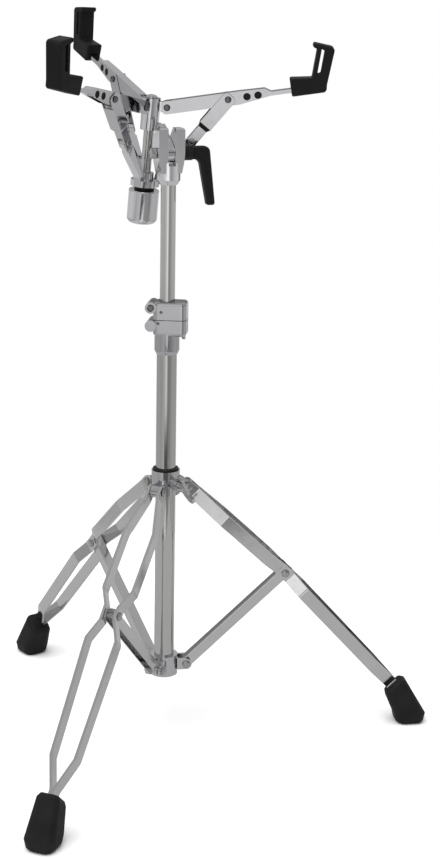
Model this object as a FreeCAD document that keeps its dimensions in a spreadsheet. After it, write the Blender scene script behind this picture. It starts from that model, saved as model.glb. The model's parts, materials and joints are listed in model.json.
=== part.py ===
import FreeCAD, Part
import math
import os
import Sketcher

# Snare drum stand: double-braced folding tripod, telescoping column, tilter and three-arm basket.
# Millimetres and degrees, +Z up, origin on the column axis at floor level, front towards -Y.

SIZES = {
    # fits shared by all pieces
    "running_clearance": 0.05,
    "side_clearance": 0.4,
    "seat_clearance": 0.02,
    "cut_overrun": 30.0,
    "edge_pick": 0.1,
    # tripod legs, each a pair of flat steel strips
    "leg_pivot_radius": 28.0,
    "leg_upper_length": 173.8,
    "leg_lower_length": 221.4,
    "strip_thickness": 3.5,
    "strip_depth": 16.0,
    "strip_spread": 19.5,
    "strip_foot_spread": 15.5,
    "strip_pinch_length": 18.0,
    "strip_end_margin": 8.0,
    "strip_foot_insert": 16.0,
    "strip_bend_round": 9.0,
    "strip_end_edge": 0.4,
    "pivot_pin_diameter": 6.0,
    "pivot_head_diameter": 10.5,
    "pivot_head_height": 2.0,
    # rubber feet
    "foot_entry_height": 50.0,
    "foot_entry_width": 30.0,
    "foot_entry_depth": 34.0,
    "foot_entry_round": 9.0,
    "foot_entry_inset": 3.0,
    "foot_entry_edge": 5.0,
    "foot_ground_width": 40.0,
    "foot_ground_depth": 42.0,
    "foot_ground_round": 14.0,
    "foot_ground_reach": 0.5,
    "foot_flare_height": 13.0,
    "foot_sole_inset": 6.5,
    # braces
    "brace_width": 13.0,
    "brace_depth": 13.5,
    "brace_wall": 1.6,
    "brace_end_margin": 6.5,
    "brace_end_round": 5.2,
    # lower collar
    "brace_collar_diameter": 35.0,
    "brace_collar_below": 14.0,
    "brace_collar_above": 12.0,
    "brace_ear_thickness": 4.0,
    "brace_ear_height": 14.0,
    "brace_ear_root": 1.5,
    # sliding upper collar
    "leg_collar_diameter": 36.0,
    "leg_collar_below": 9.0,
    "leg_collar_above": 22.0,
    "leg_lug_thickness": 11.0,
    "leg_lug_height": 15.0,
    "leg_bushing_wall": 1.5,
    "leg_bushing_flange": 2.5,
    "leg_bushing_flange_diameter": 32.5,
    "wing_boss_diameter": 15.0,
    "wing_boss_reach": 31.0,
    # wing bolts
    "wing_shank_diameter": 8.0,
    "wing_hub_diameter": 12.0,
    "wing_hub_length": 11.0,
    "wing_hub_edge": 1.5,
    "wing_span": 44.0,
    "wing_reach": 19.0,
    "wing_thickness": 4.0,
    # column
    "base_tube_diameter": 25.4,
    "base_tube_wall": 1.5,
    "base_tube_length": 443.5,
    "upper_tube_diameter": 19.0,
    "upper_tube_wall": 1.5,
    "upper_tube_insertion": 232.0,
    "upper_tube_exposed": 146.0,
    # height clamp and memory lock
    "clamp_sleeve_diameter": 31.5,
    "clamp_sleeve_length": 21.0,
    "clamp_sleeve_lip": 0.8,
    "clamp_taper_length": 5.0,
    "clamp_block_height": 20.5,
    "clamp_block_left": 16.5,
    "clamp_block_right": 25.5,
    "clamp_block_front": 16.0,
    "clamp_block_back": 16.0,
    "clamp_corner_round": 6.5,
    "clamp_edge_round": 4.5,
    "clamp_slit": 2.0,
    "bushing_length": 46.0,
    "bushing_flange": 3.0,
    "lock_height": 22.0,
    "lock_gap": 0.8,
    "lock_boss_diameter": 14.5,
    "lock_boss_offset": 19.0,
    "lock_screw_diameter": 5.0,
    "lock_screw_head": 8.5,
    "lock_screw_head_height": 5.0,
    "lock_screw_key": 5.5,
    "lock_screw_flange": 2.0,
    # tilter
    "tilter_sleeve_diameter": 30.0,
    "tilter_sleeve_length": 28.0,
    "tilter_sleeve_lip": 1.5,
    "tilter_taper_length": 6.0,
    "tilter_width": 34.0,
    "tilter_depth": 26.0,
    "tilter_axis_height": 39.0,
    "tilter_top_height": 32.0,
    "tilter_fork_depth": 15.0,
    "tilter_round": 4.0,
    "tilter_bevel": 2.5,
    "tilter_back_bevel": 14.5,
    "tongue_thickness": 8.4,
    "tongue_diameter": 23.0,
    "tilter_bolt_diameter": 8.0,
    "tilter_nut_width": 13.0,
    "tilter_nut_height": 6.0,
    # tilter lever
    "lever_boss_diameter": 19.0,
    "lever_boss_length": 15.0,
    "lever_boss_edge": 3.0,
    "lever_bolt_depth": 12.0,
    "lever_reach": 45.5,
    "lever_drop": 66.0,
    "lever_splay": 9.5,
    "lever_arm_height": 16.5,
    "lever_grip_width": 13.5,
    "lever_tip_width": 10.5,
    "lever_thickness": 13.0,
    "lever_elbow_round": 8.0,
    "lever_corner_round": 3.0,
    "lever_edge_round": 3.5,
    # basket hub and shaft
    "basket_left": 23.3,
    "basket_back": 29.0,
    "basket_rise": 56.0,
    "hub_diameter": 23.0,
    "hub_above": 10.0,
    "hub_below": 15.0,
    "hub_pivot_radius": 20.0,
    "hub_lug_thickness": 8.0,
    "hub_lug_height": 13.0,
    "hub_cap_diameter": 15.0,
    "hub_cap_height": 4.0,
    "hub_cap_edge": 1.3,
    "shaft_diameter": 13.0,
    "shaft_length": 146.0,
    "neck_boss_diameter": 23.0,
    "neck_boss_height": 15.0,
    "neck_arm_diameter": 10.5,
    # basket arms
    "arm_strut_length": 76.6,
    "arm_length": 158.0,
    "arm_width": 12.0,
    "arm_height": 16.5,
    "arm_wall": 1.6,
    "arm_end_margin": 7.5,
    "arm_end_round": 6.8,
    "arm_insert_height": 9.4,
    "arm_hole_lift": 0.3,
    "arm_bar_thickness": 5.0,
    "arm_bar_insert": 24.0,
    "basket_pin_diameter": 5.0,
    "basket_head_diameter": 8.5,
    "basket_head_height": 1.6,
    # rubber tips
    "tip_width": 21.0,
    "tip_foot_length": 43.0,
    "tip_foot_below": 7.0,
    "tip_foot_above": 16.0,
    "tip_wall_start": 27.5,
    "tip_wall_height": 34.0,
    "tip_wall_thickness": 5.5,
    "tip_slot_width": 5.0,
    "tip_back_thickness": 12.0,
    "tip_cap_thickness": 6.5,
    "tip_lip": 5.0,
    "tip_round": 3.0,
    "tip_corner_round": 5.0,
    "tip_edge_round": 2.0,
    # struts
    "strut_depth": 17.5,
    "strut_low_depth": 13.0,
    "strut_wall": 1.4,
    "strut_end_margin": 6.5,
    "strut_end_round": 5.8,
    # spider
    "spider_pivot_radius": 54.0,
    "spider_pivot_drop": 39.8,
    "spider_eye_thickness": 7.0,
    "spider_eye_diameter": 14.0,
    "spider_arm_thickness": 10.0,
    "spider_base_diameter": 36.0,
    "spider_base_height": 8.0,
    "spider_sleeve_diameter": 21.0,
    "spider_sleeve_height": 17.0,
    "spider_height": 61.7,
    # washer and clamping nut
    "washer_diameter": 25.0,
    "washer_height": 5.0,
    "nut_diameter": 38.5,
    "nut_height": 43.0,
    "nut_round": 7.0,
    "nut_edge": 1.0,
}

ANGLES = {
    "tripod_turn_angle": 7.3,
    "leg_slope_angle": 42.8,
    "leg_bend_angle": 4.6,
    "wing_turn_angle": 28.0,
    "clamp_turn_angle": -6.0,
    "tilter_turn_angle": 20.0,
    "basket_side_lean_angle": 4.4,
    "basket_front_lean_angle": 4.8,
    "arm_slope_angle": 13.0,
    "tip_wall_lean_angle": 17.5,
}
QUARTER_TURN = 90.0
HALF_TURN = 180.0
FULL_TURN = 360.0

# Kinks of a leg strip along its upper part, from the brace joint to the collar.
UPPER_KINK_SHARES = (0.18, 0.64, 0.93)
# Kinks of a leg strip along its lower part, from the brace joint to the foot.
LOWER_KINK_SHARES = (0.15, 0.80, 0.97)
# Taper, windows and insert of a basket arm, along its free part beyond the strut pin.
ARM_TAPER_SHARES = (0.175, 0.573, 0.65)
ARM_HOLE_SHARES = (0.29, 0.46)
ARM_HOLE_WIDTH_SHARE = 0.113
ARM_INSERT_SHARES = (0.204, 0.528)
# Where a strut narrows and where its web runs, along its length.
STRUT_STEP_SHARES = (0.62, 0.70)
STRUT_WEB_SHARES = (0.14, 0.86)
# Outer and inner edge of a spider arm from base to eye, as shares of pivot radius and height.
SPIDER_OUTER_RADIUS_SHARES = (0.333, 0.345, 0.56, 0.87, 1.09)
SPIDER_OUTER_HEIGHT_SHARES = (0.0, 0.19, 0.39, 0.69, 0.92)
SPIDER_INNER_RADIUS_SHARES = (0.92, 0.70, 0.41, 0.23, 0.18)
SPIDER_INNER_HEIGHT_SHARES = (1.07, 0.85, 0.56, 0.28, 0.0)
# Corners of a hexagon about its centre, as shares of its width across the flats.
HEX_X_SHARES = (0.5774, 0.2887, -0.2887, -0.5774, -0.2887, 0.2887)
HEX_Y_SHARES = (0.0, 0.5, 0.5, 0.0, -0.5, -0.5)
# Half width of the tilter fork from bottom to top, as shares of its width and of its heights.
FORK_WIDTH_SHARES = (0.39, 0.47, 0.50)
FORK_DROP_SHARES = (0.62, 0.26, 0.0)
# Dome of the hub cap, as shares of its radius and height.
CAP_RADIUS_SHARES = (0.75, 0.35)
CAP_HEIGHT_SHARES = (0.8, 1.0)
# Rounding of the sole of a foot, as shares of its inset and of the height of its flare.
SOLE_INSET_SHARE = 0.3
SOLE_HEIGHT_SHARE = 0.3
# How closely an edge has to run along a line, or lie at a side, to be picked there.
ALONG_SHARE = 0.99
SIDE_SHARE = 0.95
# How far the plate of the neck runs from the tilt axis towards its boss.
NECK_PLATE_SHARE = 0.9
# Outline of one wing lobe, as shares of half the span and of the reach.
WING_SPAN_SHARES = (0.25, 0.62, 0.92, 1.00, 0.92, 0.66, 0.42)
WING_REACH_SHARES = (0.10, 0.24, 0.46, 0.72, 0.95, 1.00, 0.72)

LEGS = 3
ARMS = 3
LEG_NAMES = ("right", "rear", "front")
ARM_NAMES = ("right", "rear", "front")


class Size:
    """A length or angle that keeps both its value and the formula it came from."""

    def __init__(self, value, text):
        self.value = float(value)
        self.text = text

    def _join(self, other, sign, value):
        return Size(value, "(" + self.text + " " + sign + " " + other.text + ")")

    def __add__(self, other):
        other = as_size(other)
        return self._join(other, "+", self.value + other.value)

    __radd__ = __add__

    def __sub__(self, other):
        other = as_size(other)
        return self._join(other, "-", self.value - other.value)

    def __rsub__(self, other):
        return as_size(other) - self

    def __mul__(self, other):
        other = as_size(other)
        return self._join(other, "*", self.value * other.value)

    __rmul__ = __mul__

    def __truediv__(self, other):
        other = as_size(other)
        return self._join(other, "/", self.value / other.value)

    def __neg__(self):
        return Size(-self.value, "(-1 * " + self.text + ")")

    def __float__(self):
        return self.value


def as_size(number):
    if isinstance(number, Size):
        return number
    return Size(number, repr(number))


def cosine(angle):
    return Size(math.cos(math.radians(angle.value)), "cos(" + angle.text + ")")


def sine(angle):
    return Size(math.sin(math.radians(angle.value)), "sin(" + angle.text + ")")


def root(square):
    return Size(math.sqrt(square.value), "sqrt(" + square.text + ")")


def tangent(angle):
    return Size(math.tan(math.radians(angle.value)), "tan(" + angle.text + ")")


doc = FreeCAD.newDocument("snare_stand")
sheet = doc.addObject("Spreadsheet::Sheet", "dims")


class Table:
    """The driving sizes, one named cell each."""

    def __init__(self, sizes):
        for row, (name, value) in enumerate(sizes.items(), 1):
            sheet.set("A%d" % row, name)
            sheet.set("B%d" % row, repr(value))
            sheet.setAlias("B%d" % row, name)
            setattr(self, name, Size(value, "dims." + name))


v = Table({**SIZES, **ANGLES})
doc.recompute()
ZERO = as_size(0)


class Outline:
    """A closed outline through corner points."""

    def __init__(self, *points):
        self.points = [(as_size(x), as_size(y)) for x, y in points]

    def draw(self, sketch):
        first = sketch.GeometryCount
        spots = [FreeCAD.Vector(x.value, y.value, 0) for x, y in self.points]
        count = len(spots)
        for here in range(count):
            sketch.addGeometry(Part.LineSegment(spots[here], spots[(here + 1) % count]), False)
        for here in range(count):
            ahead = first + (here + 1) % count
            sketch.addConstraint(Sketcher.Constraint("Coincident", first + here, 2, ahead, 1))
        for here, (x, y) in enumerate(self.points):
            fix_point(sketch, first + here, 1, x, y)


class Disc:
    """A circle."""

    def __init__(self, x, y, diameter):
        self.x = as_size(x)
        self.y = as_size(y)
        self.radius = as_size(diameter) / 2

    def draw(self, sketch):
        centre = FreeCAD.Vector(self.x.value, self.y.value, 0)
        up = FreeCAD.Vector(0, 0, 1)
        index = sketch.addGeometry(Part.Circle(centre, up, self.radius.value), False)
        fix_point(sketch, index, 3, self.x, self.y)
        ring = sketch.addConstraint(Sketcher.Constraint("Radius", index, self.radius.value))
        sketch.setExpression("Constraints[%d]" % ring, self.radius.text)


class Tongue:
    """A bar from start to centre that ends in a half circle about the centre."""

    def __init__(self, start, centre, height):
        self.start = as_size(start)
        self.centre = as_size(centre)
        self.half = as_size(height) / 2

    def draw(self, sketch):
        first = sketch.GeometryCount
        start, centre, half = self.start.value, self.centre.value, self.half.value
        low_start = FreeCAD.Vector(start, -half, 0)
        low_end = FreeCAD.Vector(centre, -half, 0)
        high_end = FreeCAD.Vector(centre, half, 0)
        high_start = FreeCAD.Vector(start, half, 0)
        middle = FreeCAD.Vector(centre, 0, 0)
        up = FreeCAD.Vector(0, 0, 1)
        sketch.addGeometry(Part.LineSegment(low_start, low_end), False)
        cap = Part.ArcOfCircle(Part.Circle(middle, up, half), -math.pi / 2, math.pi / 2)
        sketch.addGeometry(cap, False)
        sketch.addGeometry(Part.LineSegment(high_end, high_start), False)
        sketch.addGeometry(Part.LineSegment(high_start, low_start), False)
        for here in range(4):
            ahead = first + (here + 1) % 4
            sketch.addConstraint(Sketcher.Constraint("Coincident", first + here, 2, ahead, 1))
        fix_point(sketch, first, 1, self.start, -self.half)
        fix_point(sketch, first, 2, self.centre, -self.half)
        fix_point(sketch, first + 2, 1, self.centre, self.half)
        fix_point(sketch, first + 3, 1, self.start, self.half)
        fix_along(sketch, "DistanceX", first + 1, 3, self.centre)


class RoundedBox:
    """A rectangle about a middle point, with round corners."""

    def __init__(self, x, y, width, height, corner):
        half_x = as_size(width) / 2
        half_y = as_size(height) / 2
        self.left = as_size(x) - half_x
        self.right = as_size(x) + half_x
        self.low = as_size(y) - half_y
        self.high = as_size(y) + half_y
        self.corner = corner

    def draw(self, sketch):
        first = sketch.GeometryCount
        up = FreeCAD.Vector(0, 0, 1)
        sides = [((self.left + self.corner, self.low), (self.right - self.corner, self.low)),
                 ((self.right, self.low + self.corner), (self.right, self.high - self.corner)),
                 ((self.right - self.corner, self.high), (self.left + self.corner, self.high)),
                 ((self.left, self.high - self.corner), (self.left, self.low + self.corner))]
        centres = [(self.right - self.corner, self.low + self.corner),
                   (self.right - self.corner, self.high - self.corner),
                   (self.left + self.corner, self.high - self.corner),
                   (self.left + self.corner, self.low + self.corner)]
        for here, (start, end) in enumerate(sides):
            sketch.addGeometry(Part.LineSegment(spot(*start, 0), spot(*end, 0)), False)
            ring = Part.Circle(spot(*centres[here], 0), up, self.corner.value)
            begin = (here - 1) * math.pi / 2
            sketch.addGeometry(Part.ArcOfCircle(ring, begin, begin + math.pi / 2), False)
        for here in range(8):
            ahead = first + (here + 1) % 8
            sketch.addConstraint(Sketcher.Constraint("Coincident", first + here, 2, ahead, 1))
        for here, (start, end) in enumerate(sides):
            fix_point(sketch, first + 2 * here, 1, *start)
            fix_point(sketch, first + 2 * here, 2, *end)
            fix_along(sketch, "DistanceX", first + 2 * here + 1, 3, centres[here][0])


def fix_along(sketch, kind, index, spot, size):
    held = sketch.addConstraint(Sketcher.Constraint(kind, -1, 1, index, spot, size.value))
    sketch.setExpression("Constraints[%d]" % held, size.text)


def fix_point(sketch, index, spot, x, y):
    fix_along(sketch, "DistanceX", index, spot, x)
    fix_along(sketch, "DistanceY", index, spot, y)


def box_outline(left, low, right, high):
    return Outline((left, low), (right, low), (right, high), (left, high))


class Piece:
    """One solid of the stand, built in its own frame and then placed."""

    def __init__(self, label):
        self.body = doc.addObject("PartDesign::Body", label)
        self.body.Label = label
        self.label = label
        self.last = None

    def plane(self, role):
        for feature in self.body.Origin.OriginFeatures:
            if feature.Role == role:
                return feature
        raise RuntimeError(role)

    def sketch(self, role, shapes, offset=None, tilt=None):
        drawing = self.body.newObject("Sketcher::SketchObject", self.label + "_sketch")
        drawing.AttachmentSupport = [(self.plane(role), "")]
        drawing.MapMode = "FlatFace"
        if tilt is not None:
            axis, angle, shift = tilt
            base = FreeCAD.Vector(*[float(part) for part in shift])
            turn = FreeCAD.Rotation(FreeCAD.Vector(*axis), angle.value)
            drawing.AttachmentOffset = FreeCAD.Placement(base, turn)
            for name, part in zip("xyz", shift):
                drawing.setExpression("AttachmentOffset.Base." + name, as_size(part).text)
            drawing.setExpression("AttachmentOffset.Rotation.Angle", angle.text)
        elif offset is not None:
            offset = as_size(offset)
            base = FreeCAD.Vector(0, 0, offset.value)
            drawing.AttachmentOffset = FreeCAD.Placement(base, FreeCAD.Rotation())
            drawing.setExpression("AttachmentOffset.Base.z", offset.text)
        for shape in shapes:
            shape.draw(drawing)
        drawing.Visibility = False
        return drawing

    def feature(self, kind, drawing=None):
        made = self.body.newObject("PartDesign::" + kind, self.label + "_" + kind.lower())
        if drawing is not None:
            made.Profile = drawing
        self.last = made
        return made

    def pad(self, role, shapes, length, offset=None, both=False, flip=False, tilt=None):
        made = self.feature("Pad", self.sketch(role, shapes, offset, tilt))
        made.SideType = "Symmetric" if both else "One side"
        made.Reversed = flip
        made.setExpression("Length", as_size(length).text)
        doc.recompute()
        return made

    def cut(self, role, shapes, length, offset=None, both=False, flip=False, tilt=None):
        made = self.feature("Pocket", self.sketch(role, shapes, offset, tilt))
        made.SideType = "Symmetric" if both else "One side"
        made.Reversed = flip
        made.setExpression("Length", as_size(length).text)
        doc.recompute()
        return made

    def spin(self, shapes, axis="V_Axis"):
        drawing = self.sketch("XZ_Plane", shapes)
        made = self.feature("Revolution", drawing)
        made.ReferenceAxis = (drawing, [axis])
        made.Angle = FULL_TURN
        doc.recompute()
        return made

    def around(self, features, count):
        made = self.feature("PolarPattern")
        made.Originals = features
        made.Axis = (self.plane("Z_Axis"), [""])
        made.Angle = FULL_TURN
        made.Occurrences = count
        self.body.Tip = made
        doc.recompute()
        return made

    def round(self, radius, test):
        names = edge_names(self.last.Shape, test)
        base = self.last
        made = self.feature("Fillet")
        made.Base = (base, names)
        made.setExpression("Radius", as_size(radius).text)
        doc.recompute()
        return made

    def bevel(self, width, test):
        names = edge_names(self.last.Shape, test)
        base = self.last
        made = self.feature("Chamfer")
        made.Base = (base, names)
        made.setExpression("Size", as_size(width).text)
        doc.recompute()
        return made

    def put(self, placement):
        self.body.Placement = placement
        return self


def edge_names(shape, test):
    return ["Edge%d" % (here + 1) for here, edge in enumerate(shape.Edges) if test(edge)]


def runs_along(edge, axis):
    if not isinstance(edge.Curve, (Part.Line, Part.LineSegment)):
        return False
    step = edge.Vertexes[-1].Point - edge.Vertexes[0].Point
    return abs(step.dot(FreeCAD.Vector(*axis))) > ALONG_SHARE * step.Length


def middle_of(edge):
    return edge.BoundBox.Center


def at_one_of(edge, points):
    """Whether an edge across the piece stands on one of the points of a side outline."""
    middle = middle_of(edge)
    pick = float(v.edge_pick)
    return any(abs(middle.x - float(x)) < pick and abs(middle.z - float(z)) < pick for x, z in points)


def spot(x, y, z):
    return FreeCAD.Vector(float(x), float(y), float(z))


def turned(axis, degrees):
    return FreeCAD.Rotation(FreeCAD.Vector(*axis), float(degrees))


def placed(x, y, z, rotation=None):
    return FreeCAD.Placement(spot(x, y, z), rotation or FreeCAD.Rotation())


nodes = []


def keep(label, item):
    nodes.append((label, item))


def keep_piece(piece):
    keep(piece.label, piece.body)
    return piece


# Heights of the tripod: the feet stand on the floor and both collars follow from the leg lengths.
joint_radius = v.leg_pivot_radius + v.leg_upper_length * cosine(v.leg_slope_angle)
lower_slope = v.leg_slope_angle + v.leg_bend_angle
joint_height = v.foot_entry_height + v.leg_lower_length * sine(lower_slope)
brace_pivot_height = joint_height - v.leg_upper_length * sine(v.leg_slope_angle)
leg_pivot_height = joint_height + v.leg_upper_length * sine(v.leg_slope_angle)
foot_radius = joint_radius + v.leg_lower_length * cosine(lower_slope)
tube_bottom = brace_pivot_height - v.brace_collar_below
tube_top = tube_bottom + v.base_tube_length
base_tube_bore = v.base_tube_diameter - 2 * v.base_tube_wall
upper_tube_bore = v.upper_tube_diameter - 2 * v.upper_tube_wall
leg_turns = [v.tripod_turn_angle + FULL_TURN / LEGS * here for here in range(LEGS)]
pin_hole = v.pivot_pin_diameter + 2 * v.running_clearance

# Heights of the clamp, the lock and the tilter above the base tube.
clamp_top = tube_top + v.bushing_flange + v.clamp_block_height
lock_low = clamp_top + v.lock_gap
lock_top = lock_low + v.lock_height
tilter_low = lock_top + v.upper_tube_exposed
tilt_height = tilter_low + v.tilter_axis_height
upper_low = tube_top - v.upper_tube_insertion
upper_top = tilter_low + v.tilter_axis_height - v.tilter_fork_depth - v.tilter_taper_length


def tube(label, outer, inner, low, high):
    piece = Piece(label)
    piece.pad("XY_Plane", [Disc(0, 0, outer), Disc(0, 0, inner)], high - low, offset=low)
    return keep_piece(piece)


tube("base_tube", v.base_tube_diameter, base_tube_bore, tube_bottom, tube_top)
tube("upper_tube", v.upper_tube_diameter, upper_tube_bore, upper_low, upper_top)

# Lower collar: a ring on the tube with three forks that hold the braces.
fork_gap = v.brace_width + 2 * v.side_clearance
fork_width = fork_gap + 2 * v.brace_ear_thickness
collar = Piece("brace_collar")
collar_height = v.brace_collar_below + v.brace_collar_above
collar_low = -v.brace_collar_below
collar_bore = v.base_tube_diameter + 2 * v.seat_clearance
ring = Disc(0, 0, v.brace_collar_diameter)
collar.pad("XY_Plane", [ring, Disc(0, 0, collar_bore)], collar_height, offset=collar_low)
ear_start = v.brace_collar_diameter / 2 - v.brace_ear_root
fork = collar.pad("XZ_Plane", [Tongue(ear_start, v.leg_pivot_radius, v.brace_ear_height)],
                  fork_width, both=True)
gap_box = box_outline(v.brace_collar_diameter / 2, -v.cut_overrun,
                      v.leg_pivot_radius + v.cut_overrun, v.cut_overrun)
gap = collar.cut("XZ_Plane", [gap_box], fork_gap, both=True)
hole = collar.cut("XZ_Plane", [Disc(v.leg_pivot_radius, 0, pin_hole)],
                  fork_width + v.cut_overrun, both=True)
collar.around([fork, gap, hole], LEGS)
collar.put(placed(0, 0, brace_pivot_height, turned((0, 0, 1), v.tripod_turn_angle)))
keep_piece(collar)


def rivet(label, diameter, head, cap, inner):
    """A pin along Y with a domed head at each end; inner is the width between the heads."""
    piece = Piece(label)
    edge = cap / 2
    side = inner / 2
    piece.spin([Outline((0, -(side + cap)), (head / 2 - edge, -(side + cap)), (head / 2, -(side + edge)),
                        (head / 2, -side), (diameter / 2, -side), (diameter / 2, side),
                        (head / 2, side), (head / 2, side + edge), (head / 2 - edge, side + cap),
                        (0, side + cap))])
    return piece


def rivet_group(label, places, diameter, head, cap, inner):
    parts = []
    for here, placement in enumerate(places):
        one = rivet(label + "_%d" % (here + 1), diameter, head, cap, inner)
        lay = FreeCAD.Placement(FreeCAD.Vector(), turned((1, 0, 0), QUARTER_TURN))
        one.put(placement.multiply(lay))
        parts.append(one.body)
    group = doc.addObject("Part::Compound", label)
    group.Label = label
    group.Links = parts
    keep(label, group)


def radial_place(angle, radius, height):
    turn = turned((0, 0, 1), angle)
    return FreeCAD.Placement(turn.multVec(spot(radius, 0, 0)) + spot(0, 0, height), turn)


rivet_group("brace_collar_pins",
            [radial_place(angle, v.leg_pivot_radius, brace_pivot_height) for angle in leg_turns],
            v.pivot_pin_diameter, v.pivot_head_diameter, v.pivot_head_height, fork_width)

# Sliding upper collar with three lugs, its bushing and the boss of the wing bolt.
bushing_outer = v.base_tube_diameter + 2 * v.running_clearance + 2 * v.leg_bushing_wall
leg_collar_bore = bushing_outer + 2 * v.seat_clearance
leg_collar_height = v.leg_collar_below + v.leg_collar_above
wing_level = (v.leg_collar_above - v.leg_collar_below) / 2
leg_collar = Piece("leg_collar")
leg_collar.pad("XY_Plane", [Disc(0, 0, v.leg_collar_diameter)], leg_collar_height,
               offset=-v.leg_collar_below)
leg_collar.pad("YZ_Plane", [Disc(0, wing_level, v.wing_boss_diameter)], v.wing_boss_reach, flip=True)
leg_lug = leg_collar.pad("XZ_Plane", [Tongue(0, v.leg_pivot_radius, v.leg_lug_height)],
                         v.leg_lug_thickness, both=True)
leg_hole = leg_collar.cut("XZ_Plane", [Disc(v.leg_pivot_radius, 0, pin_hole)],
                          v.leg_lug_thickness + v.cut_overrun, both=True)
leg_collar.around([leg_lug, leg_hole], LEGS)
leg_collar.cut("XY_Plane", [Disc(0, 0, leg_collar_bore)], leg_collar_height + v.cut_overrun, both=True)
wing_hole = v.wing_shank_diameter + 2 * v.running_clearance
leg_collar.cut("YZ_Plane", [Disc(0, wing_level, wing_hole)], v.wing_boss_reach + v.cut_overrun)
collar_turn = leg_turns[1]
leg_collar.put(placed(0, 0, leg_pivot_height, turned((0, 0, 1), collar_turn)))
keep_piece(leg_collar)

leg_bushing = Piece("leg_collar_bushing")
bushing_bore = v.base_tube_diameter + 2 * v.running_clearance
bushing_low = -v.leg_collar_below
bushing_high = v.leg_collar_above
leg_bushing.spin([Outline((bushing_bore / 2, bushing_low), (bushing_outer / 2, bushing_low),
                          (bushing_outer / 2, bushing_high),
                          (v.leg_bushing_flange_diameter / 2, bushing_high),
                          (v.leg_bushing_flange_diameter / 2, bushing_high + v.leg_bushing_flange),
                          (bushing_bore / 2, bushing_high + v.leg_bushing_flange))])
leg_bushing.put(placed(0, 0, leg_pivot_height))
keep_piece(leg_bushing)


def wing_bolt(label, start, seat):
    """A wing bolt along X: its shank starts near the clamped tube, its hub rests on the seat."""
    piece = Piece(label)
    shank = v.wing_shank_diameter / 2
    hub = v.wing_hub_diameter / 2
    end = seat + v.wing_hub_length
    piece.spin([Outline((start, 0), (end, 0), (end, hub - v.wing_hub_edge), (seat, hub),
                        (seat, shank), (start, shank))], axis="H_Axis")
    half = v.wing_span / 2
    upper = [(seat + v.wing_reach * along, half * across)
             for along, across in zip(WING_REACH_SHARES, WING_SPAN_SHARES)]
    lower = [(x, -y) for x, y in reversed(upper)]
    piece.pad("XZ_Plane", [Outline(*(upper + lower))], v.wing_thickness, both=True)
    return keep_piece(piece)


leg_wing = wing_bolt("leg_wing_bolt", bushing_outer / 2 + v.side_clearance, v.wing_boss_reach)
leg_wing.put(placed(0, 0, leg_pivot_height + wing_level,
                    turned((0, 0, 1), collar_turn + HALF_TURN).multiply(
                        turned((1, 0, 0), v.wing_turn_angle))))

strip_gap = v.leg_lug_thickness + 2 * v.side_clearance
rivet_group("leg_collar_pins",
            [radial_place(angle, v.leg_pivot_radius, leg_pivot_height) for angle in leg_turns],
            v.pivot_pin_diameter, v.pivot_head_diameter, v.pivot_head_height,
            strip_gap + 2 * v.strip_thickness + 2 * v.side_clearance)

# Legs: two mirrored strips per leg that spread, pinch at the brace joint and meet in the foot.
pinch_gap = v.brace_width + 2 * v.side_clearance
pinch_middle = pinch_gap / 2 + v.strip_thickness / 2
collar_middle = strip_gap / 2 + v.strip_thickness / 2
foot_middle = v.strip_thickness / 2 + v.seat_clearance


def band(path, thickness):
    """A strip of even thickness that follows a path given as distance along and offset across."""
    inner = [(along, across - thickness / 2) for along, across in path]
    outer = [(along, across + thickness / 2) for along, across in reversed(path)]
    return Outline(*(inner + outer))


def strip(label, side):
    piece = Piece(label)
    half = v.strip_pinch_length / 2
    upper = [(-half, pinch_middle), (half, pinch_middle),
             (v.leg_upper_length * UPPER_KINK_SHARES[0], v.strip_spread),
             (v.leg_upper_length * UPPER_KINK_SHARES[1], v.strip_spread),
             (v.leg_upper_length * UPPER_KINK_SHARES[2], collar_middle),
             (v.leg_upper_length + v.strip_end_margin, collar_middle)]
    upper = [(along, across * side) for along, across in upper]
    lower = [(half, pinch_middle), (-half, pinch_middle),
             (-v.leg_lower_length * LOWER_KINK_SHARES[0], v.strip_spread),
             (-v.leg_lower_length * LOWER_KINK_SHARES[1], v.strip_foot_spread),
             (-v.leg_lower_length * LOWER_KINK_SHARES[2], foot_middle),
             (-(v.leg_lower_length + v.strip_foot_insert), foot_middle)]
    lower = [(along, across * side) for along, across in lower]
    piece.pad("XY_Plane", [band(upper, v.strip_thickness)], v.strip_depth, both=True)
    top = float(v.leg_upper_length)
    piece.round(v.strip_depth / 2 - v.strip_end_edge,
                lambda edge: runs_along(edge, (0, 1, 0)) and middle_of(edge).x > top)
    bent = ((0, -1, 0), v.leg_bend_angle, (0, 0, 0))
    piece.pad("XY_Plane", [band(lower, v.strip_thickness)], v.strip_depth, both=True, tilt=bent)
    piece.cut("XZ_Plane", [Disc(0, 0, pin_hole), Disc(v.leg_upper_length, 0, pin_hole)],
              2 * v.strip_spread + v.cut_overrun, both=True)
    bottom = -float(v.leg_lower_length)
    pinch = float(v.strip_pinch_length)
    piece.round(v.strip_bend_round,
                lambda edge: runs_along(edge, (0, 0, 1)) and abs(middle_of(edge).x) > pinch
                and bottom < middle_of(edge).x < top)
    return keep_piece(piece)


def leg_place(angle):
    """Frame at a brace joint: X up the leg, Y across, Z out of the leg."""
    lean = turned((0, 0, 1), angle).multiply(turned((0, 1, 0), HALF_TURN + float(v.leg_slope_angle)))
    flip = lean.multiply(turned((1, 0, 0), HALF_TURN))
    at = turned((0, 0, 1), angle).multVec(spot(joint_radius, 0, 0))
    return FreeCAD.Placement(at + spot(0, 0, joint_height), flip)


foot_hole_width = 2 * v.strip_thickness + 4 * v.seat_clearance
foot_hole_depth = v.strip_depth + 2 * v.seat_clearance


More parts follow.
